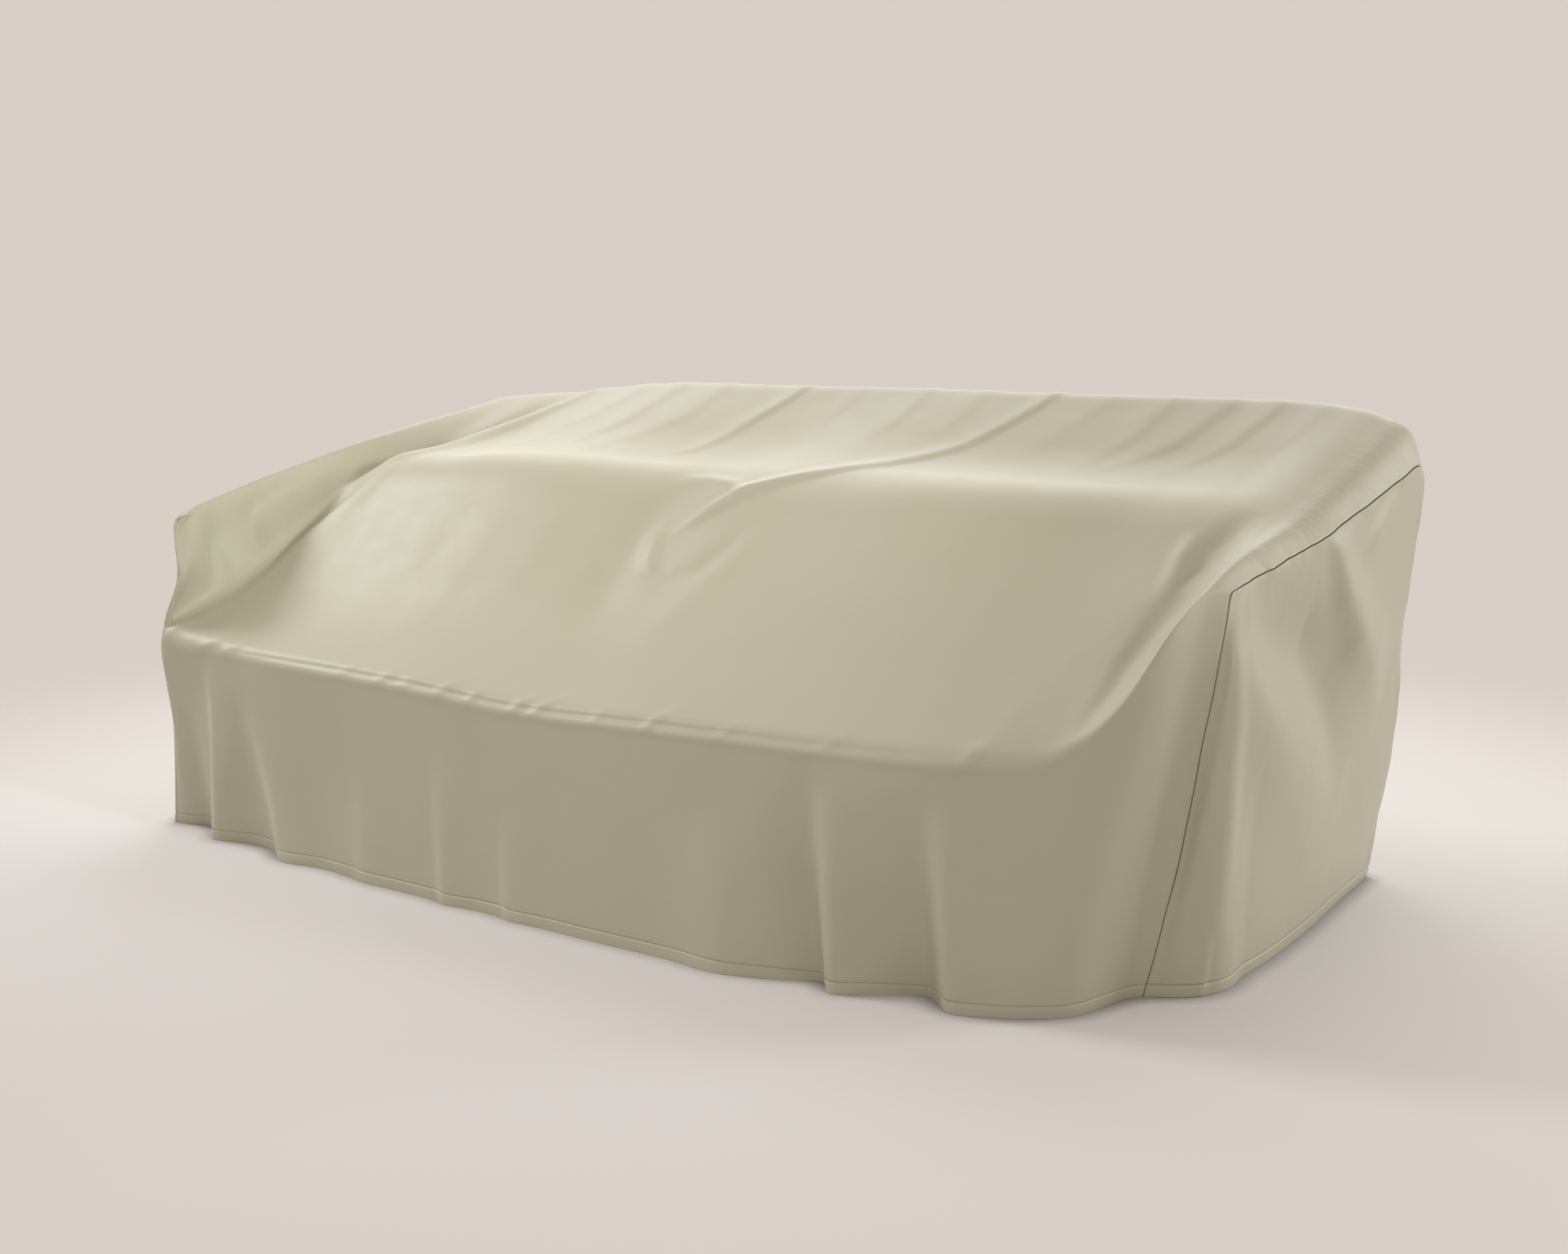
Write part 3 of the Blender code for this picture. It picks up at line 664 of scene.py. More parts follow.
# The soft lights. Columns: name, place, the place it faces, its two sizes, its spread in degrees,
# and the setting that holds its power.
LIGHTS = (
    ("back", (-1.6, 4.0, 3.4), (0.0, 0.0, 0.5), (6.0, 3.0), 180, "key_light"),
    ("left", (-5.2, -0.6, 4.0), (-0.6, -0.1, 0.5), (1.8, 1.4), 50, "side_light"),
    ("right", (4.2, 3.6, 1.6), (1.1, 0.2, 0.5), (1.6, 1.8), 180, "fill_light"),
    ("arm", (2.5, -0.5, 1.6), (-1.02, -0.15, 0.62), (0.5, 0.5), 30, "arm_light"),
)

# The camera: its place, how far it is turned to the cover's right, and how far it looks down.
CAMERA_PLACE = (2.456, -3.393, 1.200)
CAMERA_TURN = np.radians(34.66)
CAMERA_PITCH = np.radians(10.02)


def sizes():
    """The cover's own sizes, as the sidebar shows them."""
    return bpy.context.scene.cover_sizes


def colours():
    """The cover's own colours, as the sidebar shows them."""
    return bpy.context.scene.cover_colours


def studio():
    """The studio's settings, as the sidebar shows them."""
    return bpy.context.scene.cover_studio


# ---------------------------------------------------------------------------------------------
# Shapes
# ---------------------------------------------------------------------------------------------


def cubic(at, places, values):
    """A smooth curve through the values, read at the given places.

    Each span is a cubic whose slope at a place is the mean of the two spans' slopes, weighted
    towards the shorter span.
    """
    step = np.diff(places)
    slope = np.diff(values) / step
    inner = (slope[:-1] * step[1:] + slope[1:] * step[:-1]) / (step[1:] + step[:-1])
    tangent = np.concatenate([slope[:1], inner, slope[-1:]])
    span = np.clip(np.searchsorted(places, at) - 1, 0, len(step) - 1)
    width = step[span]
    share = (np.clip(at, places[0], places[-1]) - places[span]) / width
    rest = 1 - share
    return (
        (1 + 2 * share) * rest**2 * values[span]
        + (1 + 2 * rest) * share**2 * values[span + 1]
        + share * rest * width * (rest * tangent[span] - share * tangent[span + 1])
    )


def smooth_step(share):
    """From 0 to 1, level at both ends: three times the square less twice the cube."""
    share = np.clip(share, 0, 1)
    return share**2 * (3 - 2 * share)


def bell(away):
    """One bump: e to the minus square of the distance, counted in widths."""
    return np.exp(-(away**2))


def unit(vectors):
    """The vectors' directions: each vector over its own length."""
    return vectors / np.linalg.norm(vectors, axis=-1, keepdims=True)


def square_to(vectors, ahead):
    """The vectors' directions square to another: each less its part along that one."""
    share = (vectors * ahead).sum(-1, keepdims=True) / (ahead * ahead).sum(-1, keepdims=True)
    return unit(vectors - ahead * share)


def ruled(start, stretches):
    """Places from start on, evenly ruled in each stretch at about the spacing it states."""
    places = [np.array([start])]
    for end, spacing in stretches:
        begin = places[-1][-1]
        count = max(1, int(np.ceil((end - begin) / spacing - RULING_SLACK)))
        places.append(np.linspace(begin, end, count + 1)[1:])
    return np.concatenate(places)


def line_points(line, across):
    """The points of one line of the cover at the given places across."""
    table = np.array(line).T
    return np.stack([cubic(across, table[0], column) for column in table[1:]], axis=-1)


def taut(across, run):
    """The smooth surface: each section is straight from line to line and rounded there.

    The sum of a straight run from the hem and, at each line, a change of direction that comes in
    over the turn's radius as a parabola.
    """
    runs = [place for place, _ in LINES]
    marks = [line_points(line, across) for _, line in LINES]
    climbs = [
        (marks[i + 1] - marks[i]) / (runs[i + 1] - runs[i]) for i in range(len(LINES) - 1)
    ]
    points = marks[0] + climbs[0] * run[..., None]
    for i, (place, radius) in enumerate(TURNS):
        past = run - place
        near = np.abs(past) < radius
        reach = np.where(near, (past**2 + radius**2) / (2 * radius), np.abs(past))
        points = points + (reach + past)[..., None] / 2 * (climbs[i + 1] - climbs[i])
    return points


def fold_paths():
    """The path of every main fold in the main panel."""
    paths = list(FOLDS.values())
    for back, middle, middle_run, height, end, end_run in PULLS:
        path = (
            (back, PULLS_FROM, 0.0, *PULL_WIDTHS),
            (back, PULLS_FULL, height, *PULL_WIDTHS),
            (middle, middle_run, height, *PULL_WIDTHS),
            (end, end_run, 0.0, *PULL_WIDTHS),
        )
        paths.append(path)
    for foot, flares in ((HEM, FRONT_FLARES), (FOOT, BACK_FLARES)):
        for top, top_run, bottom, height, right, left in flares:
            path = (
                (top, top_run, 0.0, right, left),
                ((top + bottom) / 2, (top_run + foot) / 2, HALFWAY_HEIGHT * height, right, left),
                (bottom, foot, height, right, left),
            )
            paths.append(path)
    return paths


def crease_paths():
    """The path of every fine crease in the main panel."""
    paths = list(CREASES.values())
    for foot, end, end_run, height, width in PUCKERS:
        path = (
            (foot, PUCKERS_FROM, 0.0, width, width),
            (foot, PUCKERS_FULL, height, width, width),
            (end, end_run, 0.0, width, width),
        )
        paths.append(path)
    return paths


def ridge(across, run, path):
    """The height of one fold at each point of the cloth.

    The height at the nearest point of the path, times a bell over the distance from it. The
    bell's width is that of the side on which the point lies.
    """
    rows = np.array(path)
    best = np.full(across.shape, np.inf)
    height = np.zeros(across.shape)
    for start, end in zip(rows[:-1], rows[1:]):
        ahead = end[:2] - start[:2]
        offset_x = across - start[0]
        offset_y = run - start[1]
        share = np.clip((offset_x * ahead[0] + offset_y * ahead[1]) / (ahead @ ahead), 0, 1)
        off_x = offset_x - share * ahead[0]
        off_y = offset_y - share * ahead[1]
        away = np.hypot(off_x, off_y)
        here = start[2:] + share[..., None] * (end - start)[2:]
        on_left = ahead[0] * off_y > ahead[1] * off_x
        width = np.where(on_left, here[..., 1], here[..., 2])
        nearer = away < best
        best = np.where(nearer, away, best)
        height = np.where(nearer, here[..., 0] * bell(away / width), height)
    return height


def normals(points):
    """The normal at each point of a grid: the cross product of its two directions."""
    return unit(np.cross(np.gradient(points, axis=0), np.gradient(points, axis=1)))


def swell(points):
    """The points after the broad swells have pushed them, none of them below the floor.

    Each push is a bell over the distance from its centre, counted in reaches.
    """
    moved = points.copy()
    for row in SWELLS:
        centre, reach, push = np.array(row).reshape(3, 3)
        away = ((points - centre) / reach) ** 2
        moved += np.exp(-away.sum(axis=-1))[..., None] * push
    moved[..., 2] = np.maximum(moved[..., 2], 0)
    return moved


def hem_relief(rise):
    """How far the cloth stands out near a hem: the doubled hem, and its stitched groove."""
    own = sizes()
    band = own.hem_swell * smooth_step((own.hem_depth - rise) / HEM_STEP + 0.5)
    groove = own.stitch_groove * bell((rise - own.hem_depth) / own.stitch_width)
    return band - groove


def seam_roll(from_seam):
    """How deep a seam's edge has rolled in: a quarter circle over the last millimetres."""
    roll = sizes().seam_roll
    left = np.clip(1 - from_seam / roll, 0, 1)
    return roll * (1 - np.sqrt(1 - left**2))


def wander(side, run):
    """How far a seam wanders off its smooth line: a bow up the front, and waves all along.

    It goes sideways over the top, and sideways and backwards round the corner below the edge.
    """
    waves = sum(size * np.sin(2 * np.pi * (run / length + start)) for size, length, start in WANDER)
    waves = waves * smooth_step(run / SEAM_FADE) * smooth_step((FOOT - run) / SEAM_FADE)
    amount = waves + SEAM_BOW * np.sin(np.pi * np.clip(run / EDGE, 0, 1))
    over = smooth_step((run - EDGE) / SEAM_FADE)
    sideways = side * (SEAM_SIDEWAYS + (1 - SEAM_SIDEWAYS) * over)
    ways = np.stack([sideways, SEAM_BACKWARDS * (1 - over), 0 * run], axis=-1)
    return amount[..., None] * ways


def seam(side, run):
    """The seam line of one end: the edge of the main panel there."""
    return taut(np.full(run.shape, side * HALF_LENGTH), run)


def inward_at(side, run):
    """The way into the cover at places along a seam: midway between the two panels' ways in.

    A panel's way in leads from the seam to a place on that panel, square to the seam.
    """
    edge = seam(side, run)
    ahead = seam(side, run + SEAM_STEP) - seam(side, run - SEAM_STEP)
    beside = taut(np.full(run.shape, side * (HALF_LENGTH - SEAM_STEP)), run)
    middle = seam(side, np.array([HEM, FOOT, EDGE, BACK])).mean(axis=0)
    return unit(square_to(beside - edge, ahead) + square_to(middle - edge, ahead))


# The main panel.


def draped(across, run, rise):
    """The main panel's outer face for a grid of places on the cloth.

    The smooth surface, plus the height of all folds, creases and hem relief along its normal.
    """
    smooth = taut(across, run)
    height = sum(ridge(across, run, path) for path in fold_paths())
    height = height * smooth_step((HALF_LENGTH - np.abs(across)) / SEAM_FADE)
    fine = sum(ridge(across, run, path) for path in crease_paths())
    height = height + fine + hem_relief(rise)
    points = smooth + height[..., None] * normals(smooth)
    near_seam = smooth_step(1 - (HALF_LENGTH - np.abs(across)) / SEAM_FADE)
    points = swell(points + near_seam[..., None] * wander(np.sign(across), run))
    settled = 1 - smooth_step(rise / HEM_SETTLES)
    hem_lift = np.where(run < CREST, points[:, :1, 2], points[:, -1:, 2])
    points[..., 2] -= settled * hem_lift
    return points


def wall_climb(across, foot, top):
    """How far a wall climbs for each metre of its run, at each place across."""
    low, high = (taut(across, np.full(across.shape, run)) for run in (foot, top))
    return np.linalg.norm(high - low, axis=-1, keepdims=True) / abs(top - foot)


def wall_rows(across, foot, top, spacing):
    """Rows of a wall, from its hem up, for each place across.

    The hem's rows lie at equal heights all along it, and those above share out the rest. It
    gives the run of each row, and how high above the hem it lies.
    """
    climb = wall_climb(across, foot, top)
    length = abs(top - foot)
    rises = ruled(0.0, HEM_RISE)
    hem = rises / climb
    count = int(round((length - rises[-1]) / spacing))
    shares = np.linspace(0, 1, count + 1)[1:]
    runs = np.concatenate([hem, hem[:, -1:] + shares * (length - hem[:, -1:])], axis=1)
    return foot + np.sign(top - foot) * runs, runs * climb


def main_grid():
    """The main panel's grid: place across, run, and height above the nearer hem."""
    across = ruled(-HALF_LENGTH, MAIN_ACROSS)
    front, front_rise = wall_rows(across, HEM, FRONT_WALL_TOP, FRONT_WALL)
    back, back_rise = wall_rows(across, FOOT, BACK_WALL_TOP, BACK_WALL)
    over = ruled(FRONT_WALL_TOP, MAIN_OVER)[1:-1]
    over = np.broadcast_to(over, (len(across), len(over)))
    run = np.concatenate([front, over, back[:, ::-1]], axis=1)
    rise = np.concatenate([front_rise, np.ones(over.shape), back_rise[:, ::-1]], axis=1)
    return np.broadcast_to(across[:, None], run.shape), run, rise


def roll_main(points, across, run):
    """The main panel's face with both seam edges rolled in and drawn back by half the gap."""
    own = sizes()
    for side, edge, beside in ((RIGHT, -1, -2), (LEFT, 0, 1)):
        back = unit(points[beside] - points[edge])
        from_seam = HALF_LENGTH - side * across
        points = points + seam_roll(from_seam)[..., None] * inward_at(side, run[edge])
        drawn = np.clip(1 - from_seam / (DRAWN_ROLLS * own.seam_roll), 0, 1)
        points = points + 0.5 * own.seam_gap * drawn[..., None] * back
    return points


def main_hem_line(foot, top):
    """The line of the main panel's hem stitching, and the normals along it.

    It lies in a narrow strip of the draped cloth, with one more row a millimetre to each side.
    """
    ends = HALF_LENGTH - STITCH_STARTS
    across = np.arange(-ends, ends, STITCH_LINE)
    depth = sizes().hem_depth
    rise = np.broadcast_to([0.0, depth - MM, depth, depth + MM], (len(across), 4))
    run = foot + np.sign(top - foot) * rise / wall_climb(across, foot, top)
    across = np.broadcast_to(across[:, None], run.shape)
    row = 2
    if foot == FOOT:
        # The back's rows are turned round, so that its normals face outwards too.
        across, run, rise = across[:, ::-1], run[:, ::-1], rise[:, ::-1]
        row = 1
    points = draped(across, run, rise)
    return points[:, row], normals(points)[:, row]


# The end panels.


def seam_sides(side, along, up):
    """An end panel's three seam edges, front, rear and top, for shares along and up the panel.

    Each is how far the place lies from the edge, and the run of the seam beside it.
    """
    tall = seam(side, np.array([EDGE]))[0, 2]
    return (
        (along * DEEP, EDGE * up),
        ((1 - along) * DEEP, FOOT - (FOOT - BACK) * up),
        ((1 - up) * tall, EDGE + DEEP * along),
    )


def end_grid(side):
    """An end panel's grid, as shares along and up it, and the height of its front corner.

    The hem's rows lie at equal heights all along it, and those above share out the rest.
    """
    tall, rear_tall = seam(side, np.array([EDGE, BACK]))[:, 2]
    along = ruled(0.0, END_ALONG) / DEEP
    height = tall + (rear_tall - tall) * along
    rises = ruled(0.0, HEM_RISE)
    hem_up = rises / height[:, None]
    above = ruled(rises[-1], END_UP)[1:]
    shares = (above - rises[-1]) / (END_UP[-1][0] - rises[-1])
    up = np.concatenate([hem_up, hem_up[:, -1:] + shares * (1 - hem_up[:, -1:])], axis=1)
    return np.broadcast_to(along[:, None], up.shape), up, tall


def end_panel_at(side, hem, folds, along, up, tall):
    """An end panel's outer face for shares along and up it, before its seams are rolled.

    A patch stretched between the seam's three sides and the hem: the blend of the two ends, plus
    what the hem and the top stand out from the straight lines between the corners, plus the
    seam's wandering close to each side, plus folds.
    """
    sides = seam_sides(side, along, up)
    front, rear, top = (seam(side, run) for _, run in sides)
    front_low, rear_low, front_high, rear_high = seam(side, np.array([HEM, FOOT, EDGE, BACK]))
    places, stand = np.array(hem).T
    a = along[..., None]
    b = up[..., None]
    low = (1 - a) * front_low + a * rear_low
    high = (1 - a) * front_high + a * rear_high
    floor = low.copy()
    floor[..., 0] += side * cubic(along, places, stand)
    smooth = (1 - a) * front + a * rear + (1 - b) * (floor - low) + b * (top - high)
    by_front, by_rear, by_top = (smooth_step(1 - away / SEAM_FADE) for away, _ in sides)
    by_top = by_top * (1 - by_front) * (1 - by_rear)
    for near, (_, run) in zip((by_front, by_rear, by_top), sides):
        smooth = smooth + near[..., None] * wander(side, run)
    height = sum(ridge(along * DEEP, up * tall, path) for path in folds.values())
    from_seam = np.min([away for away, _ in sides], axis=0)
    height = height * smooth_step(from_seam / SEAM_FADE) + hem_relief(smooth[..., 2])
    facing = side * normals(smooth)
    return swell(smooth + height[..., None] * facing)


def roll_end(side, points, along, up):
    """An end panel's face with its three seam edges rolled in and drawn back by half the gap.

    Each point rolls in from its nearest edge. Only the outermost ones are drawn back, each
    towards the point beside it.
    """
    sides = seam_sides(side, along, up)
    nearest = np.argmin([away for away, _ in sides], axis=0)
    columns, rows = points.shape[:2]
    column, row = np.indices((columns, rows))
    back = points[np.clip(column, 1, columns - 2), np.minimum(row, rows - 2)] - points
    length = np.linalg.norm(back, axis=-1, keepdims=True)
    back = np.divide(back, length, out=np.zeros(back.shape), where=length > 0)
    moved = points.copy()
    for which, (away, run) in enumerate(sides):
        here = (nearest == which)[..., None]
        moved += here * seam_roll(away)[..., None] * inward_at(side, run)
    return moved + 0.5 * sizes().seam_gap * back


def end_hem_line(side, points):
    """The line of an end panel's hem stitching on its finished face, and the normals there.

    It runs midway between the two rows that meet at the hem's depth.
    """
    inner = points[STITCH_SKIPS:-STITCH_SKIPS]
    level = np.searchsorted(ruled(0.0, HEM_RISE), sizes().hem_depth)
    line = (inner[:, level - 1] + inner[:, level]) / 2
    return line, side * normals(inner)[:, level]


# The stitches.


def spindle():
    """One stitch of half length 1 and radius 1: its points, and its faces in like groups.

    Rings of points at even angles round the first axis, joined by quads, and closed by
    triangles to a point at each end.
    """
    angle = 2 * np.pi * np.arange(STITCH_SIDES) / STITCH_SIDES
    ring = np.stack([np.cos(angle), np.sin(angle)], axis=-1)
    rings = [np.column_stack([np.full(STITCH_SIDES, x), r * ring]) for x, r in STITCH_RINGS]
    points = np.concatenate([[[-1.0, 0.0, 0.0]], *rings, [[1.0, 0.0, 0.0]]])
    turn = np.arange(STITCH_SIDES)
    after = (turn + 1) % STITCH_SIDES
    tip = len(points) - 1
    faces = []
    for low in range(1, tip - STITCH_SIDES, STITCH_SIDES):
        high = low + STITCH_SIDES
        faces.append(np.stack([low + turn, low + after, high + after, high + turn], axis=-1))
    high = tip - STITCH_SIDES
    faces.append(np.stack([0 * turn, 1 + after, 1 + turn], axis=-1))
    faces.append(np.stack([0 * turn + tip, high + turn, high + after], axis=-1))
    return points, faces


def stitch_row(rows):
    """A row of stitches as one mesh: the same small spindle at even steps along a hem.

    Each of the rows holds a line of points with the normals there. A spindle's axis follows the
    line, and it lies half sunk in the cloth.
    """
    own = sizes()
    shape, groups = spindle()
    shape = shape * np.array([own.stitch_length, own.thread, own.thread]) / 2
    points = []
    for line, normal in rows:
        length = np.concatenate([[0], np.cumsum(np.linalg.norm(np.diff(line, axis=0), axis=-1))])
        middles = np.arange(0.5, length[-1] / own.stitch_step - 0.5) * own.stitch_step
        centre, out = (
            np.stack([np.interp(middles, length, column) for column in table.T], axis=-1)
            for table in (line, normal)
        )
        ahead = unit(np.gradient(centre, axis=0))
        aside = unit(np.cross(out, ahead))
        axes = np.stack([ahead, aside, np.cross(ahead, aside)], axis=1)
        points.append(centre[:, None] + shape @ axes)
    points = np.concatenate(points)
    count, per_stitch = points.shape[:2]
    first = per_stitch * np.arange(count)[:, None, None]
    faces = [(first + group).reshape(-1, group.shape[1]) for group in groups]
    return points.reshape(-1, 3), [face for group in faces for face in group.tolist()]


# ---------------------------------------------------------------------------------------------
# Pieces
# ---------------------------------------------------------------------------------------------


def new_piece(name, mesh):
    """A mesh as a smoothly shaded piece of the scene."""
    mesh.shade_smooth()
    mesh.update()
    piece = bpy.data.objects.new(name, mesh)
    bpy.context.scene.collection.objects.link(piece)
    return piece


def grid_piece(name, points, chart, side):
    """A mesh of quads over a grid of points, with its chart as a UV map in metres.

    Point (i, j) joins its neighbours (i+1, j), (i+1, j+1) and (i, j+1), turned to face outwards.
    """
    columns, rows = points.shape[:2]
    index = np.arange(columns * rows).reshape(columns, rows)
    corners = (index[:-1, :-1], index[1:, :-1], index[1:, 1:], index[:-1, 1:])
    quads = np.stack(corners, axis=-1).reshape(-1, 4)
    if side == LEFT:
        quads = quads[:, ::-1]
    mesh = bpy.data.meshes.new(name)
    mesh.from_pydata(points.reshape(-1, 3), [], quads)
    chart_layer = mesh.uv_layers.new(name="cloth_metres")
    chart_layer.data.foreach_set("uv", chart.reshape(-1, 2)[quads].astype(np.float32).ravel())
    return new_piece(name, mesh)


def lay_cloth(node, points, chart, side):
    """A panel's cloth: thickened inwards from its outer face, and standing for its node."""
    piece = grid_piece(node + "_cloth", points, chart, side)
    piece.data.materials.append(finish("coated_polyester_khaki", coated_polyester))
    solidify = piece.modifiers.new("cloth thickness", "SOLIDIFY")
    solidify.thickness = sizes().cloth
    solidify.offset = -1.0
    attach(piece, BODY)
    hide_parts(node)
    return piece


def stitching(name, rows):
    """The stitches of one panel's hem, as a piece that rides with the cover."""
    points, faces = stitch_row(rows)
    mesh = bpy.data.meshes.new(name)
    mesh.from_pydata(points, [], faces)
    piece = new_piece(name, mesh)
    mesh.materials.append(finish("bonded_polyester_thread", polyester_thread))
    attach(piece, BODY)
    return piece


# ---------------------------------------------------------------------------------------------
# Materials
# ---------------------------------------------------------------------------------------------

# The cloth's patterns, in millimetres: how large the clouds, the marks of handling and the slubs
# are, and how high. The real threads lie about half a millimetre apart, too fine to show, so the
# slubs are drawn at 1.6 mm.
CLOUDS = 260
HANDLING = 70
HANDLING_HEIGHT = 1.6
SLUBS = 1.6
SLUB_HEIGHT = 0.15

# The gathers beside the main panel's seams: length, width and height in millimetres, their slant
# in radians, and the places across between which they come in.
GATHER_LENGTH = 50
GATHER_WIDTH = 17
GATHER_HEIGHT = 1.8
GATHER_SLANT = 0.7
GATHERS_FROM = 1.055
GATHERS_FULL = 1.115

# The thread's fibres, in millimetres. The real ones are finer than 0.1 mm, and are drawn at 1.2 mm
# so that they show.
FIBRES = 1.2
TWIST_HEIGHT = 0.1

# How near the hem the floor is darkened with painted shadow, in metres: the reach of its ambient
# occlusion.
FLOOR_SHADOW_REACH = 0.04


def linear(code):
    """A colour written as sRGB hex, such as #C8C0A6, as linear red, green, blue and alpha."""
    parts = np.array([int(code.lstrip("#")[i : i + 2], 16) for i in (0, 2, 4)]) / 255
    low = parts / 12.92
    high = ((parts + 0.055) / 1.055) ** 2.4
    return (*np.where(parts <= 0.04045, low, high), 1.0)


def set_inputs(tree, node, inputs):
    """Links or sets a node's inputs by name."""
    for name, value in inputs.items():
        if isinstance(value, bpy.types.NodeSocket):
            tree.links.new(value, node.inputs[name])
        else:
            node.inputs[name].default_value = value


def add_node(tree, kind, inputs=None, **settings):
    """Adds a node, with its settings and its inputs."""
    node = tree.nodes.new(kind)
    for name, value in settings.items():
        setattr(node, name, value)
    set_inputs(tree, node, inputs or {})
    return node


def per_metre(millimetres):
    """A texture's scale for a feature of this size on a chart in metres."""
    return 1 / (millimetres * MM)


def finish(name, make):
    """The material of this name, made at its first use."""
    return bpy.data.materials.get(name) or make(name)


def new_finish(name):
    """A new material with this name, its nodes and its shader."""
    material = bpy.data.materials.new(name)
    material.use_nodes = True
    tree = material.node_tree
    return material, tree, tree.nodes["Principled BSDF"]


def coated_polyester(name):
    """Solution-dyed polyester, plain-woven and coated: warm khaki, satin-matte and smooth.

    The eye sees an even colour with a faint cloudiness, a soft broad sheen where the cloth turns
    away, small gathers beside the seams, and on close view the slubs of the weave under the
    coating, which are drawn coarser than the real ones.
    """
    material, tree, shader = new_finish(name)
    chart = add_node(tree, "ShaderNodeUVMap", uv_map="cloth_metres").outputs["UV"]
    clouds = add_node(
        tree,
        "ShaderNodeTexNoise",
        {"Vector": chart, "Scale": per_metre(CLOUDS), "Detail": 3.0, "Roughness": 0.5},
    )
    base = add_node(
        tree,
        "ShaderNodeMix",
        {
            "Factor": clouds.outputs["Fac"],
            "A": linear(colours().cloth_deep),
            "B": linear(colours().cloth_light),
        },
        data_type="RGBA",
    )
    handled = add_node(
        tree,
        "ShaderNodeTexNoise",
        {"Vector": chart, "Scale": per_metre(HANDLING), "Detail": 4.0, "Roughness": 0.55},
    )
    worn = add_node(
        tree,
        "ShaderNodeMapRange",
        {"Value": handled.outputs["Fac"], "To Min": 0.44, "To Max": 0.56},
    )
    weave = add_node(
        tree,
        "ShaderNodeTexNoise",
        {"Vector": chart, "Scale": per_metre(SLUBS), "Detail": 1.0, "Roughness": 0.5},
    )
    slubs = add_node(
        tree,
        "ShaderNodeBump",
        {"Height": weave.outputs["Fac"], "Strength": 0.25, "Distance": SLUB_HEIGHT * MM},
    )
    rippled = add_node(
        tree,
        "ShaderNodeBump",
        {
            "Height": handled.outputs["Fac"],
            "Strength": 0.5,
            "Distance": HANDLING_HEIGHT * MM,
            "Normal": slubs.outputs["Normal"],
        },
    )
    place = add_node(tree, "ShaderNodeSeparateXYZ", {"Vector": chart})
    off_middle = add_node(tree, "ShaderNodeMath", {0: place.outputs["X"]}, operation="ABSOLUTE")
    by_seam = add_node(
        tree,
        "ShaderNodeMapRange",
        {
            "Value": off_middle.outputs["Value"],
            "From Min": GATHERS_FROM,
            "From Max": GATHERS_FULL,
        },
        interpolation_type="SMOOTHSTEP",
    )
    mirrored = add_node(
        tree,
        "ShaderNodeCombineXYZ",
        {"X": off_middle.outputs["Value"], "Y": place.outputs["Y"]},
    )
    slanted = add_node(
        tree,
        "ShaderNodeMapping",
        {
            "Vector": mirrored.outputs["Vector"],
            "Rotation": (0.0, 0.0, GATHER_SLANT),
            "Scale": (GATHER_LENGTH * MM, GATHER_WIDTH * MM, 1.0),
        },
        vector_type="TEXTURE",
    )
    gathers = add_node(
        tree,
        "ShaderNodeTexNoise",
        {"Vector": slanted.outputs["Vector"], "Scale": 1.0, "Detail": 1.5, "Roughness": 0.45},
    )
    puckered = add_node(
        tree,
        "ShaderNodeBump",
        {
            "Height": gathers.outputs["Fac"],
            "Strength": by_seam.outputs["Result"],
            "Distance": GATHER_HEIGHT * MM,
            "Normal": rippled.outputs["Normal"],
        },
    )
    look = {
        "Base Color": base.outputs["Result"],
        "Roughness": worn.outputs["Result"],
        "Normal": puckered.outputs["Normal"],
        "IOR": 1.47,
        "Sheen Weight": 0.30,
        "Sheen Roughness": 0.35,
    }
    set_inputs(tree, shader, look)
    return material


def polyester_thread(name):
    """Bonded polyester sewing thread: a shade deeper than the cloth, with a dull shine.

    The eye sees a fine dark dotted line along the hem, and on close view the thread's own slight
    change of tone. The deep tone is partly the thread's own and partly painted shade, which
    stands in for the shade in the stitched groove.
    """
    material, tree, shader = new_finish(name)
    place = add_node(tree, "ShaderNodeTexCoord").outputs["Object"]
    fibres = add_node(
        tree,
        "ShaderNodeTexNoise",
        {"Vector": place, "Scale": per_metre(FIBRES), "Detail": 2.0, "Roughness": 0.6},
    )
    # Partly painted shade: both thread tones are darkened to stand in for the shade in the stitched
    # groove.
    tone = add_node(
        tree,
        "ShaderNodeMix",
        {
            "Factor": fibres.outputs["Fac"],
            "A": linear(colours().thread_deep_and_groove_shade),
            "B": linear(colours().thread_light_and_groove_shade),
        },
        data_type="RGBA",
    )
    twist = add_node(
        tree,
        "ShaderNodeBump",
        {"Height": fibres.outputs["Fac"], "Strength": 0.4, "Distance": TWIST_HEIGHT * MM},
    )
    look = {
        "Base Color": tone.outputs["Result"],
        "Roughness": 0.55,
        "Normal": twist.outputs["Normal"],
        "Sheen Weight": 0.2,
    }
    set_inputs(tree, shader, look)
    return material


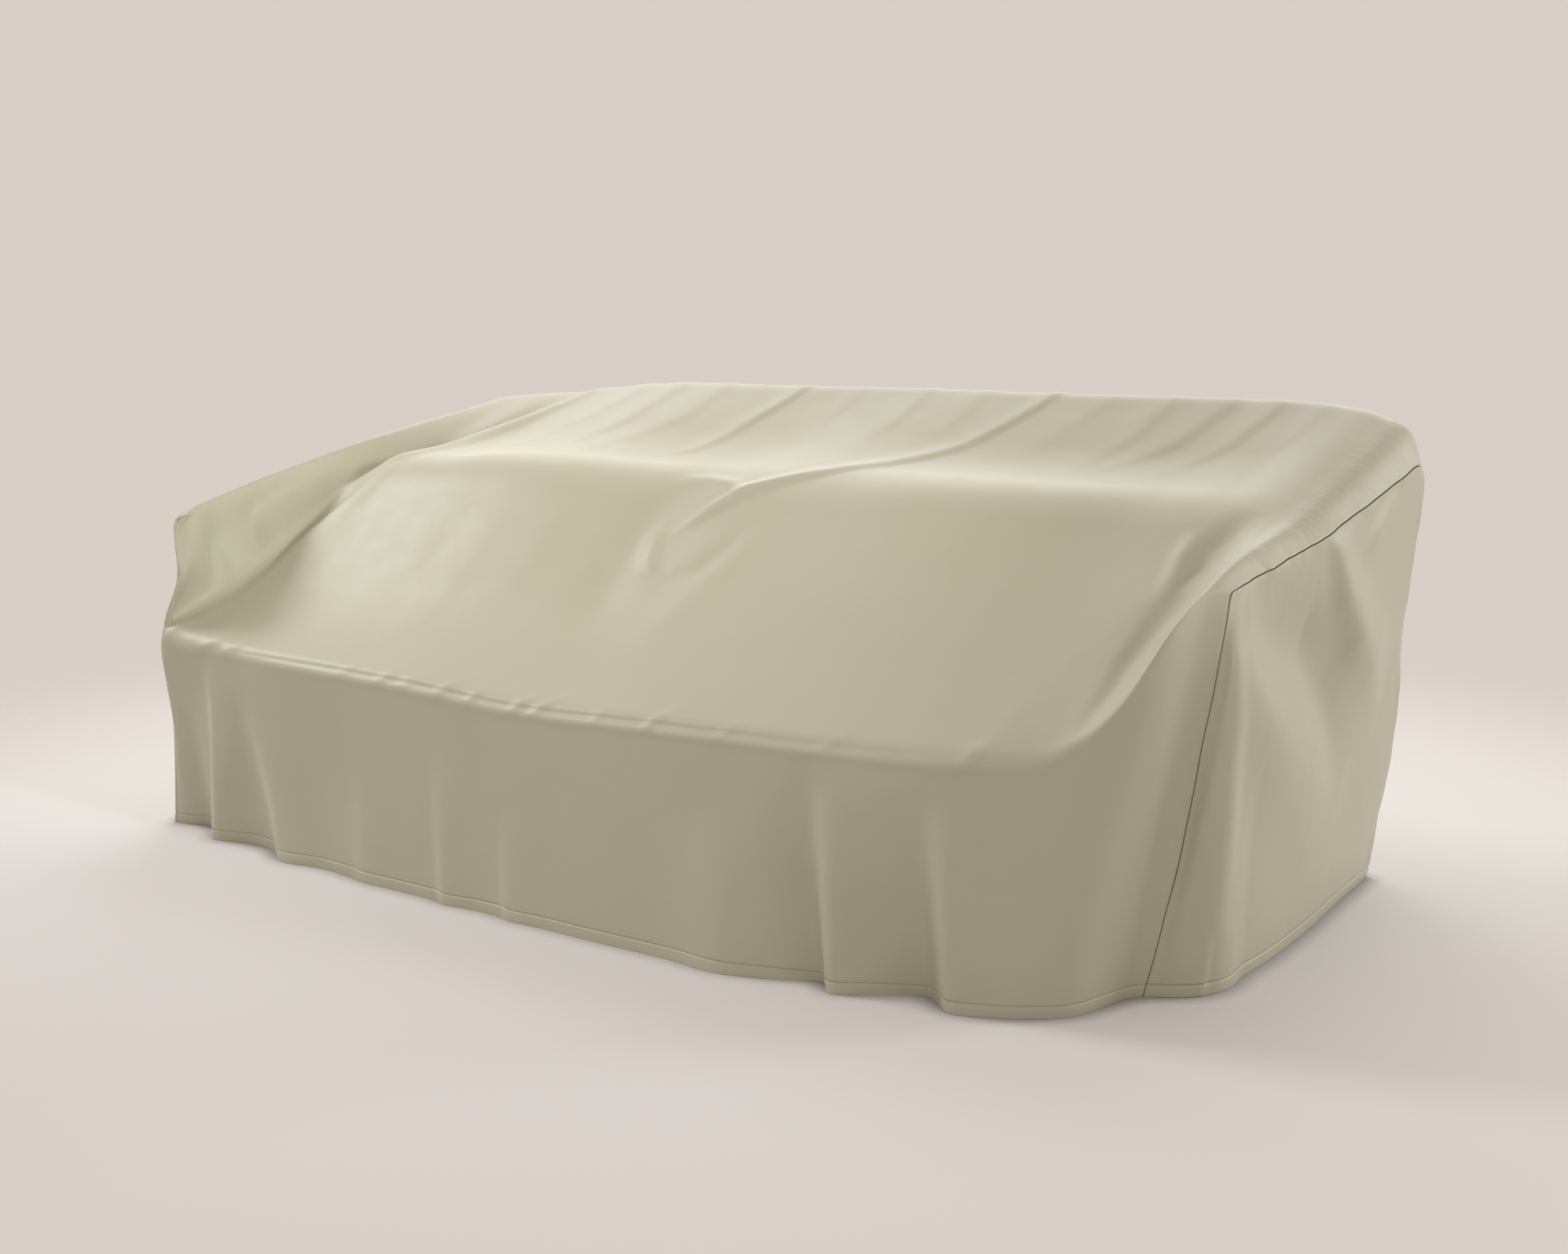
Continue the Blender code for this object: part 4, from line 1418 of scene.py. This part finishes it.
def plain_floor(name):
    """Matt paint on a pale studio floor, rolled on smooth.

    The eye sees an even pale tone without shine that fades out far away. Close under the hem it
    is darkened by a painted contact shadow, which ambient occlusion mixes in.
    """
    material, tree, shader = new_finish(name)
    # Painted contact shadow: ambient occlusion mixes a dark tone into the floor close under the
    # hem.
    under = add_node(
        tree, "ShaderNodeAmbientOcclusion", {"Distance": FLOOR_SHADOW_REACH}, samples=12, only_local=False
    )
    close = add_node(
        tree,
        "ShaderNodeMix",
        {
            "Factor": under.outputs["AO"],
            "A": linear(colours().floor_painted_shadow),
            "B": linear(colours().floor),
        },
        data_type="RGBA",
    )
    look = {"Base Color": close.outputs["Result"], "Roughness": 0.9, "Specular IOR Level": 0.2}
    set_inputs(tree, shader, look)
    place = add_node(tree, "ShaderNodeTexCoord").outputs["Object"]
    away = add_node(tree, "ShaderNodeVectorMath", {0: place}, operation="LENGTH")
    near, far = FLOOR_FADES
    fade = add_node(
        tree,
        "ShaderNodeMapRange",
        {"Value": away.outputs["Value"], "From Min": near, "From Max": far},
        interpolation_type="SMOOTHSTEP",
    )
    clear = add_node(tree, "ShaderNodeBsdfTransparent")
    mixed = add_node(
        tree,
        "ShaderNodeMixShader",
        {"Fac": fade.outputs["Result"], 1: shader.outputs["BSDF"], 2: clear.outputs["BSDF"]},
    )
    set_inputs(tree, tree.nodes["Material Output"], {"Surface": mixed.outputs["Shader"]})
    return material


# ---------------------------------------------------------------------------------------------
# Settings
# ---------------------------------------------------------------------------------------------


def length(name, description, default):
    """A setting in metres."""
    return FloatProperty(name=name, description=description, default=default, unit="LENGTH")


def power(name, description, default):
    """A lamp's setting in watts."""
    return FloatProperty(name=name, description=description, default=default, unit="POWER")


def colour(name, description, default):
    """A colour's setting, as sRGB hex."""
    return StringProperty(name=name, description=description, default=default)


class CoverSizes(bpy.types.PropertyGroup):
    """The cover's own sizes."""

    cloth: length("Cloth thickness", "Thickness of the coated cloth", 0.0015)
    hem_depth: length("Hem depth", "Depth of the turned-up hem", 0.020)
    hem_swell: length("Hem swell", "How far the doubled hem stands out", 0.0008)
    stitch_groove: length(
        "Stitch groove", "How deep the hem's stitching pulls the cloth in", 0.0018
    )
    stitch_width: length(
        "Stitch groove width", "Half width of the groove along the hem's stitching", 0.0013
    )
    stitch_length: length("Stitch length", "Length of one stitch of the hem", 0.0034)
    stitch_step: length("Stitch step", "From the start of one stitch to the next", 0.0046)
    thread: length(
        "Thread", "Thickness of the hem's thread, drawn thicker than real so that it shows", 0.0009
    )
    seam_roll: length("Seam roll", "Radius in which each panel's edge turns in at a seam", 0.0035)
    seam_gap: length("Seam gap", "Gap between the two edges of a seam", 0.0013)


class CoverColours(bpy.types.PropertyGroup):
    """The cover's and the studio's colours, as sRGB hex."""

    cloth_light: colour(
        "Cloth, lighter", "The lighter of the cloth's two close tones", "#B6B5A1"
    )
    cloth_deep: colour("Cloth, deeper", "The deeper of the cloth's two close tones", "#AFAC97")
    floor: colour("Floor", "The studio floor's paint", "#DFDDDD")
    # Painted shadow: this dark tone, mixed into the floor near the hem, stands in for its contact
    # shadow.
    floor_painted_shadow: colour(
        "Floor under the hem", "The floor's tone where the hem keeps the light off", "#37332E"
    )
    # Partly painted shade: the thread's tones are deepened beyond its own colour to stand in for
    # the shade in the stitched groove.
    thread_light_and_groove_shade: colour("Thread, lighter", "The lighter tone of the hem's thread", "#6B6652")
    thread_deep_and_groove_shade: colour("Thread, deeper", "The deeper tone of the hem's thread", "#575341")
    surround: colour("Surround", "The even light and colour all round", "#D8CFC6")


class CoverStudio(bpy.types.PropertyGroup):
    """The studio's lights and camera."""

    surround_light: FloatProperty(
        name="Surround light",
        description="Strength of the even light all round",
        default=1.0,
    )
    key_light: power(
        "Back light", "Power of the wide soft light above and behind the cover", 114.0
    )
    side_light: power("Side light", "Power of the soft light from the left", 14.0)
    arm_light: power(
        "Arm light", "Power of the narrow soft light on the inside of the left arm", 1.9
    )
    fill_light: power("Fill light", "Power of the soft light from the right and behind", 84.0)
    lens: FloatProperty(
        name="Lens",
        description="Focal length of the camera, in millimetres",
        default=50.0,
    )


# ---------------------------------------------------------------------------------------------
# Operators
# ---------------------------------------------------------------------------------------------


class COVER_OT_main_panel(bpy.types.Operator):
    """Lays the main panel's cloth, from the front hem over the seat and the back"""

    bl_idname = "cover.main_panel"
    bl_label = "Main panel"

    def execute(self, context):
        across, run, rise = main_grid()
        points = roll_main(draped(across, run, rise), across, run)
        chart = np.stack([across, run], axis=-1)
        piece = lay_cloth("main_panel", points, chart, RIGHT)
        hems = [main_hem_line(HEM, FRONT_WALL_TOP), main_hem_line(FOOT, BACK_WALL_TOP)]
        sewn = stitching("main_panel_stitching", hems)
        return {"FINISHED"}


class COVER_OT_end_panels(bpy.types.Operator):
    """Lays the cloth of both end panels, stretched between their seams and their hems"""

    bl_idname = "cover.end_panels"
    bl_label = "End panels"

    def execute(self, context):
        for node, side, hem, folds in ENDS:
            along, up, tall = end_grid(side)
            points = end_panel_at(side, hem, folds, along, up, tall)
            points = roll_end(side, points, along, up)
            # The chart is centred along the panel, so that it has no gathers: those lie far out.
            chart = np.stack([(along - 0.5) * DEEP, up * tall], axis=-1)
            piece = lay_cloth(node, points, chart, side)
            sewn = stitching(node + "_stitching", [end_hem_line(side, points)])
        return {"FINISHED"}


class COVER_OT_stage(bpy.types.Operator):
    """Sets the floor, the soft lights and the camera"""

    bl_idname = "cover.stage"
    bl_label = "Studio"

    def execute(self, context):
        scene = context.scene
        look = studio()
        bpy.ops.mesh.primitive_circle_add(
            vertices=FLOOR_SIDES, radius=FLOOR_RADIUS, fill_type="NGON"
        )
        floor = context.object
        floor.name = "studio_floor"
        floor.data.materials.append(finish("matt_studio_paint", plain_floor))
        world = bpy.data.worlds.new("even_surround")
        world.use_nodes = True
        background = world.node_tree.nodes["Background"]
        background.inputs["Color"].default_value = linear(colours().surround)
        background.inputs["Strength"].default_value = look.surround_light
        scene.world = world
        for name, place, target, size, spread, setting in LIGHTS:
            soft_light(name, place, target, size, spread, getattr(look, setting))
        set_camera(scene, look.lens)
        scene.view_settings.view_transform = "Standard"
        return {"FINISHED"}


def soft_light(name, place, target, size, spread, watts):
    """A large, evenly lit panel at a place, turned to face its target."""
    light = bpy.data.lights.new(name, "AREA")
    light.shape = "RECTANGLE"
    light.size, light.size_y = size
    light.energy = watts
    light.spread = np.radians(spread)
    lamp = bpy.data.objects.new(name, light)
    bpy.context.scene.collection.objects.link(lamp)
    lamp.location = place
    lamp.rotation_euler = (Vector(target) - Vector(place)).to_track_quat("-Z", "Y").to_euler()


def set_camera(scene, lens):
    """The camera at the photograph's angle, level, looking slightly down."""
    back = np.array(
        [
            np.sin(CAMERA_TURN) * np.cos(CAMERA_PITCH),
            -np.cos(CAMERA_TURN) * np.cos(CAMERA_PITCH),
            np.sin(CAMERA_PITCH),
        ]
    )
    right = np.array([np.cos(CAMERA_TURN), np.sin(CAMERA_TURN), 0.0])
    turned = np.eye(4)
    turned[:3, :3] = np.stack([right, np.cross(back, right), back], axis=1)
    turned[:3, 3] = CAMERA_PLACE
    camera = bpy.data.objects.new("camera", bpy.data.cameras.new("camera"))
    camera.data.lens = lens
    camera.matrix_world = Matrix(turned.tolist())
    scene.collection.objects.link(camera)
    scene.camera = camera


class COVER_PT_sidebar(bpy.types.Panel):
    """The cover's sizes, colours and pieces"""

    bl_idname = "COVER_PT_sidebar"
    bl_label = "Sofa cover"
    bl_space_type = "VIEW_3D"
    bl_region_type = "UI"
    bl_category = "Sofa cover"

    def draw(self, context):
        for group in (sizes(), colours(), studio()):
            box = self.layout.box()
            for name in group.__annotations__:
                box.prop(group, name)
        for operator in PIECES:
            self.layout.operator(operator.bl_idname)


GROUPS = {
    "cover_sizes": CoverSizes,
    "cover_colours": CoverColours,
    "cover_studio": CoverStudio,
}
PIECES = (COVER_OT_main_panel, COVER_OT_end_panels, COVER_OT_stage)


def register():
    """Registers the settings, the operators and the panel."""
    for name, group in GROUPS.items():
        bpy.utils.register_class(group)
        setattr(bpy.types.Scene, name, PointerProperty(type=group))
    for kind in (*PIECES, COVER_PT_sidebar):
        bpy.utils.register_class(kind)


def unregister():
    """Takes out again what register put in."""
    for kind in (COVER_PT_sidebar, *reversed(PIECES)):
        bpy.utils.unregister_class(kind)
    for name, group in reversed(GROUPS.items()):
        delattr(bpy.types.Scene, name)
        bpy.utils.unregister_class(group)


def main():
    register()
    bpy.ops.cover.main_panel()
    bpy.ops.cover.end_panels()
    bpy.ops.cover.stage()


if __name__ == "__main__":
    main()
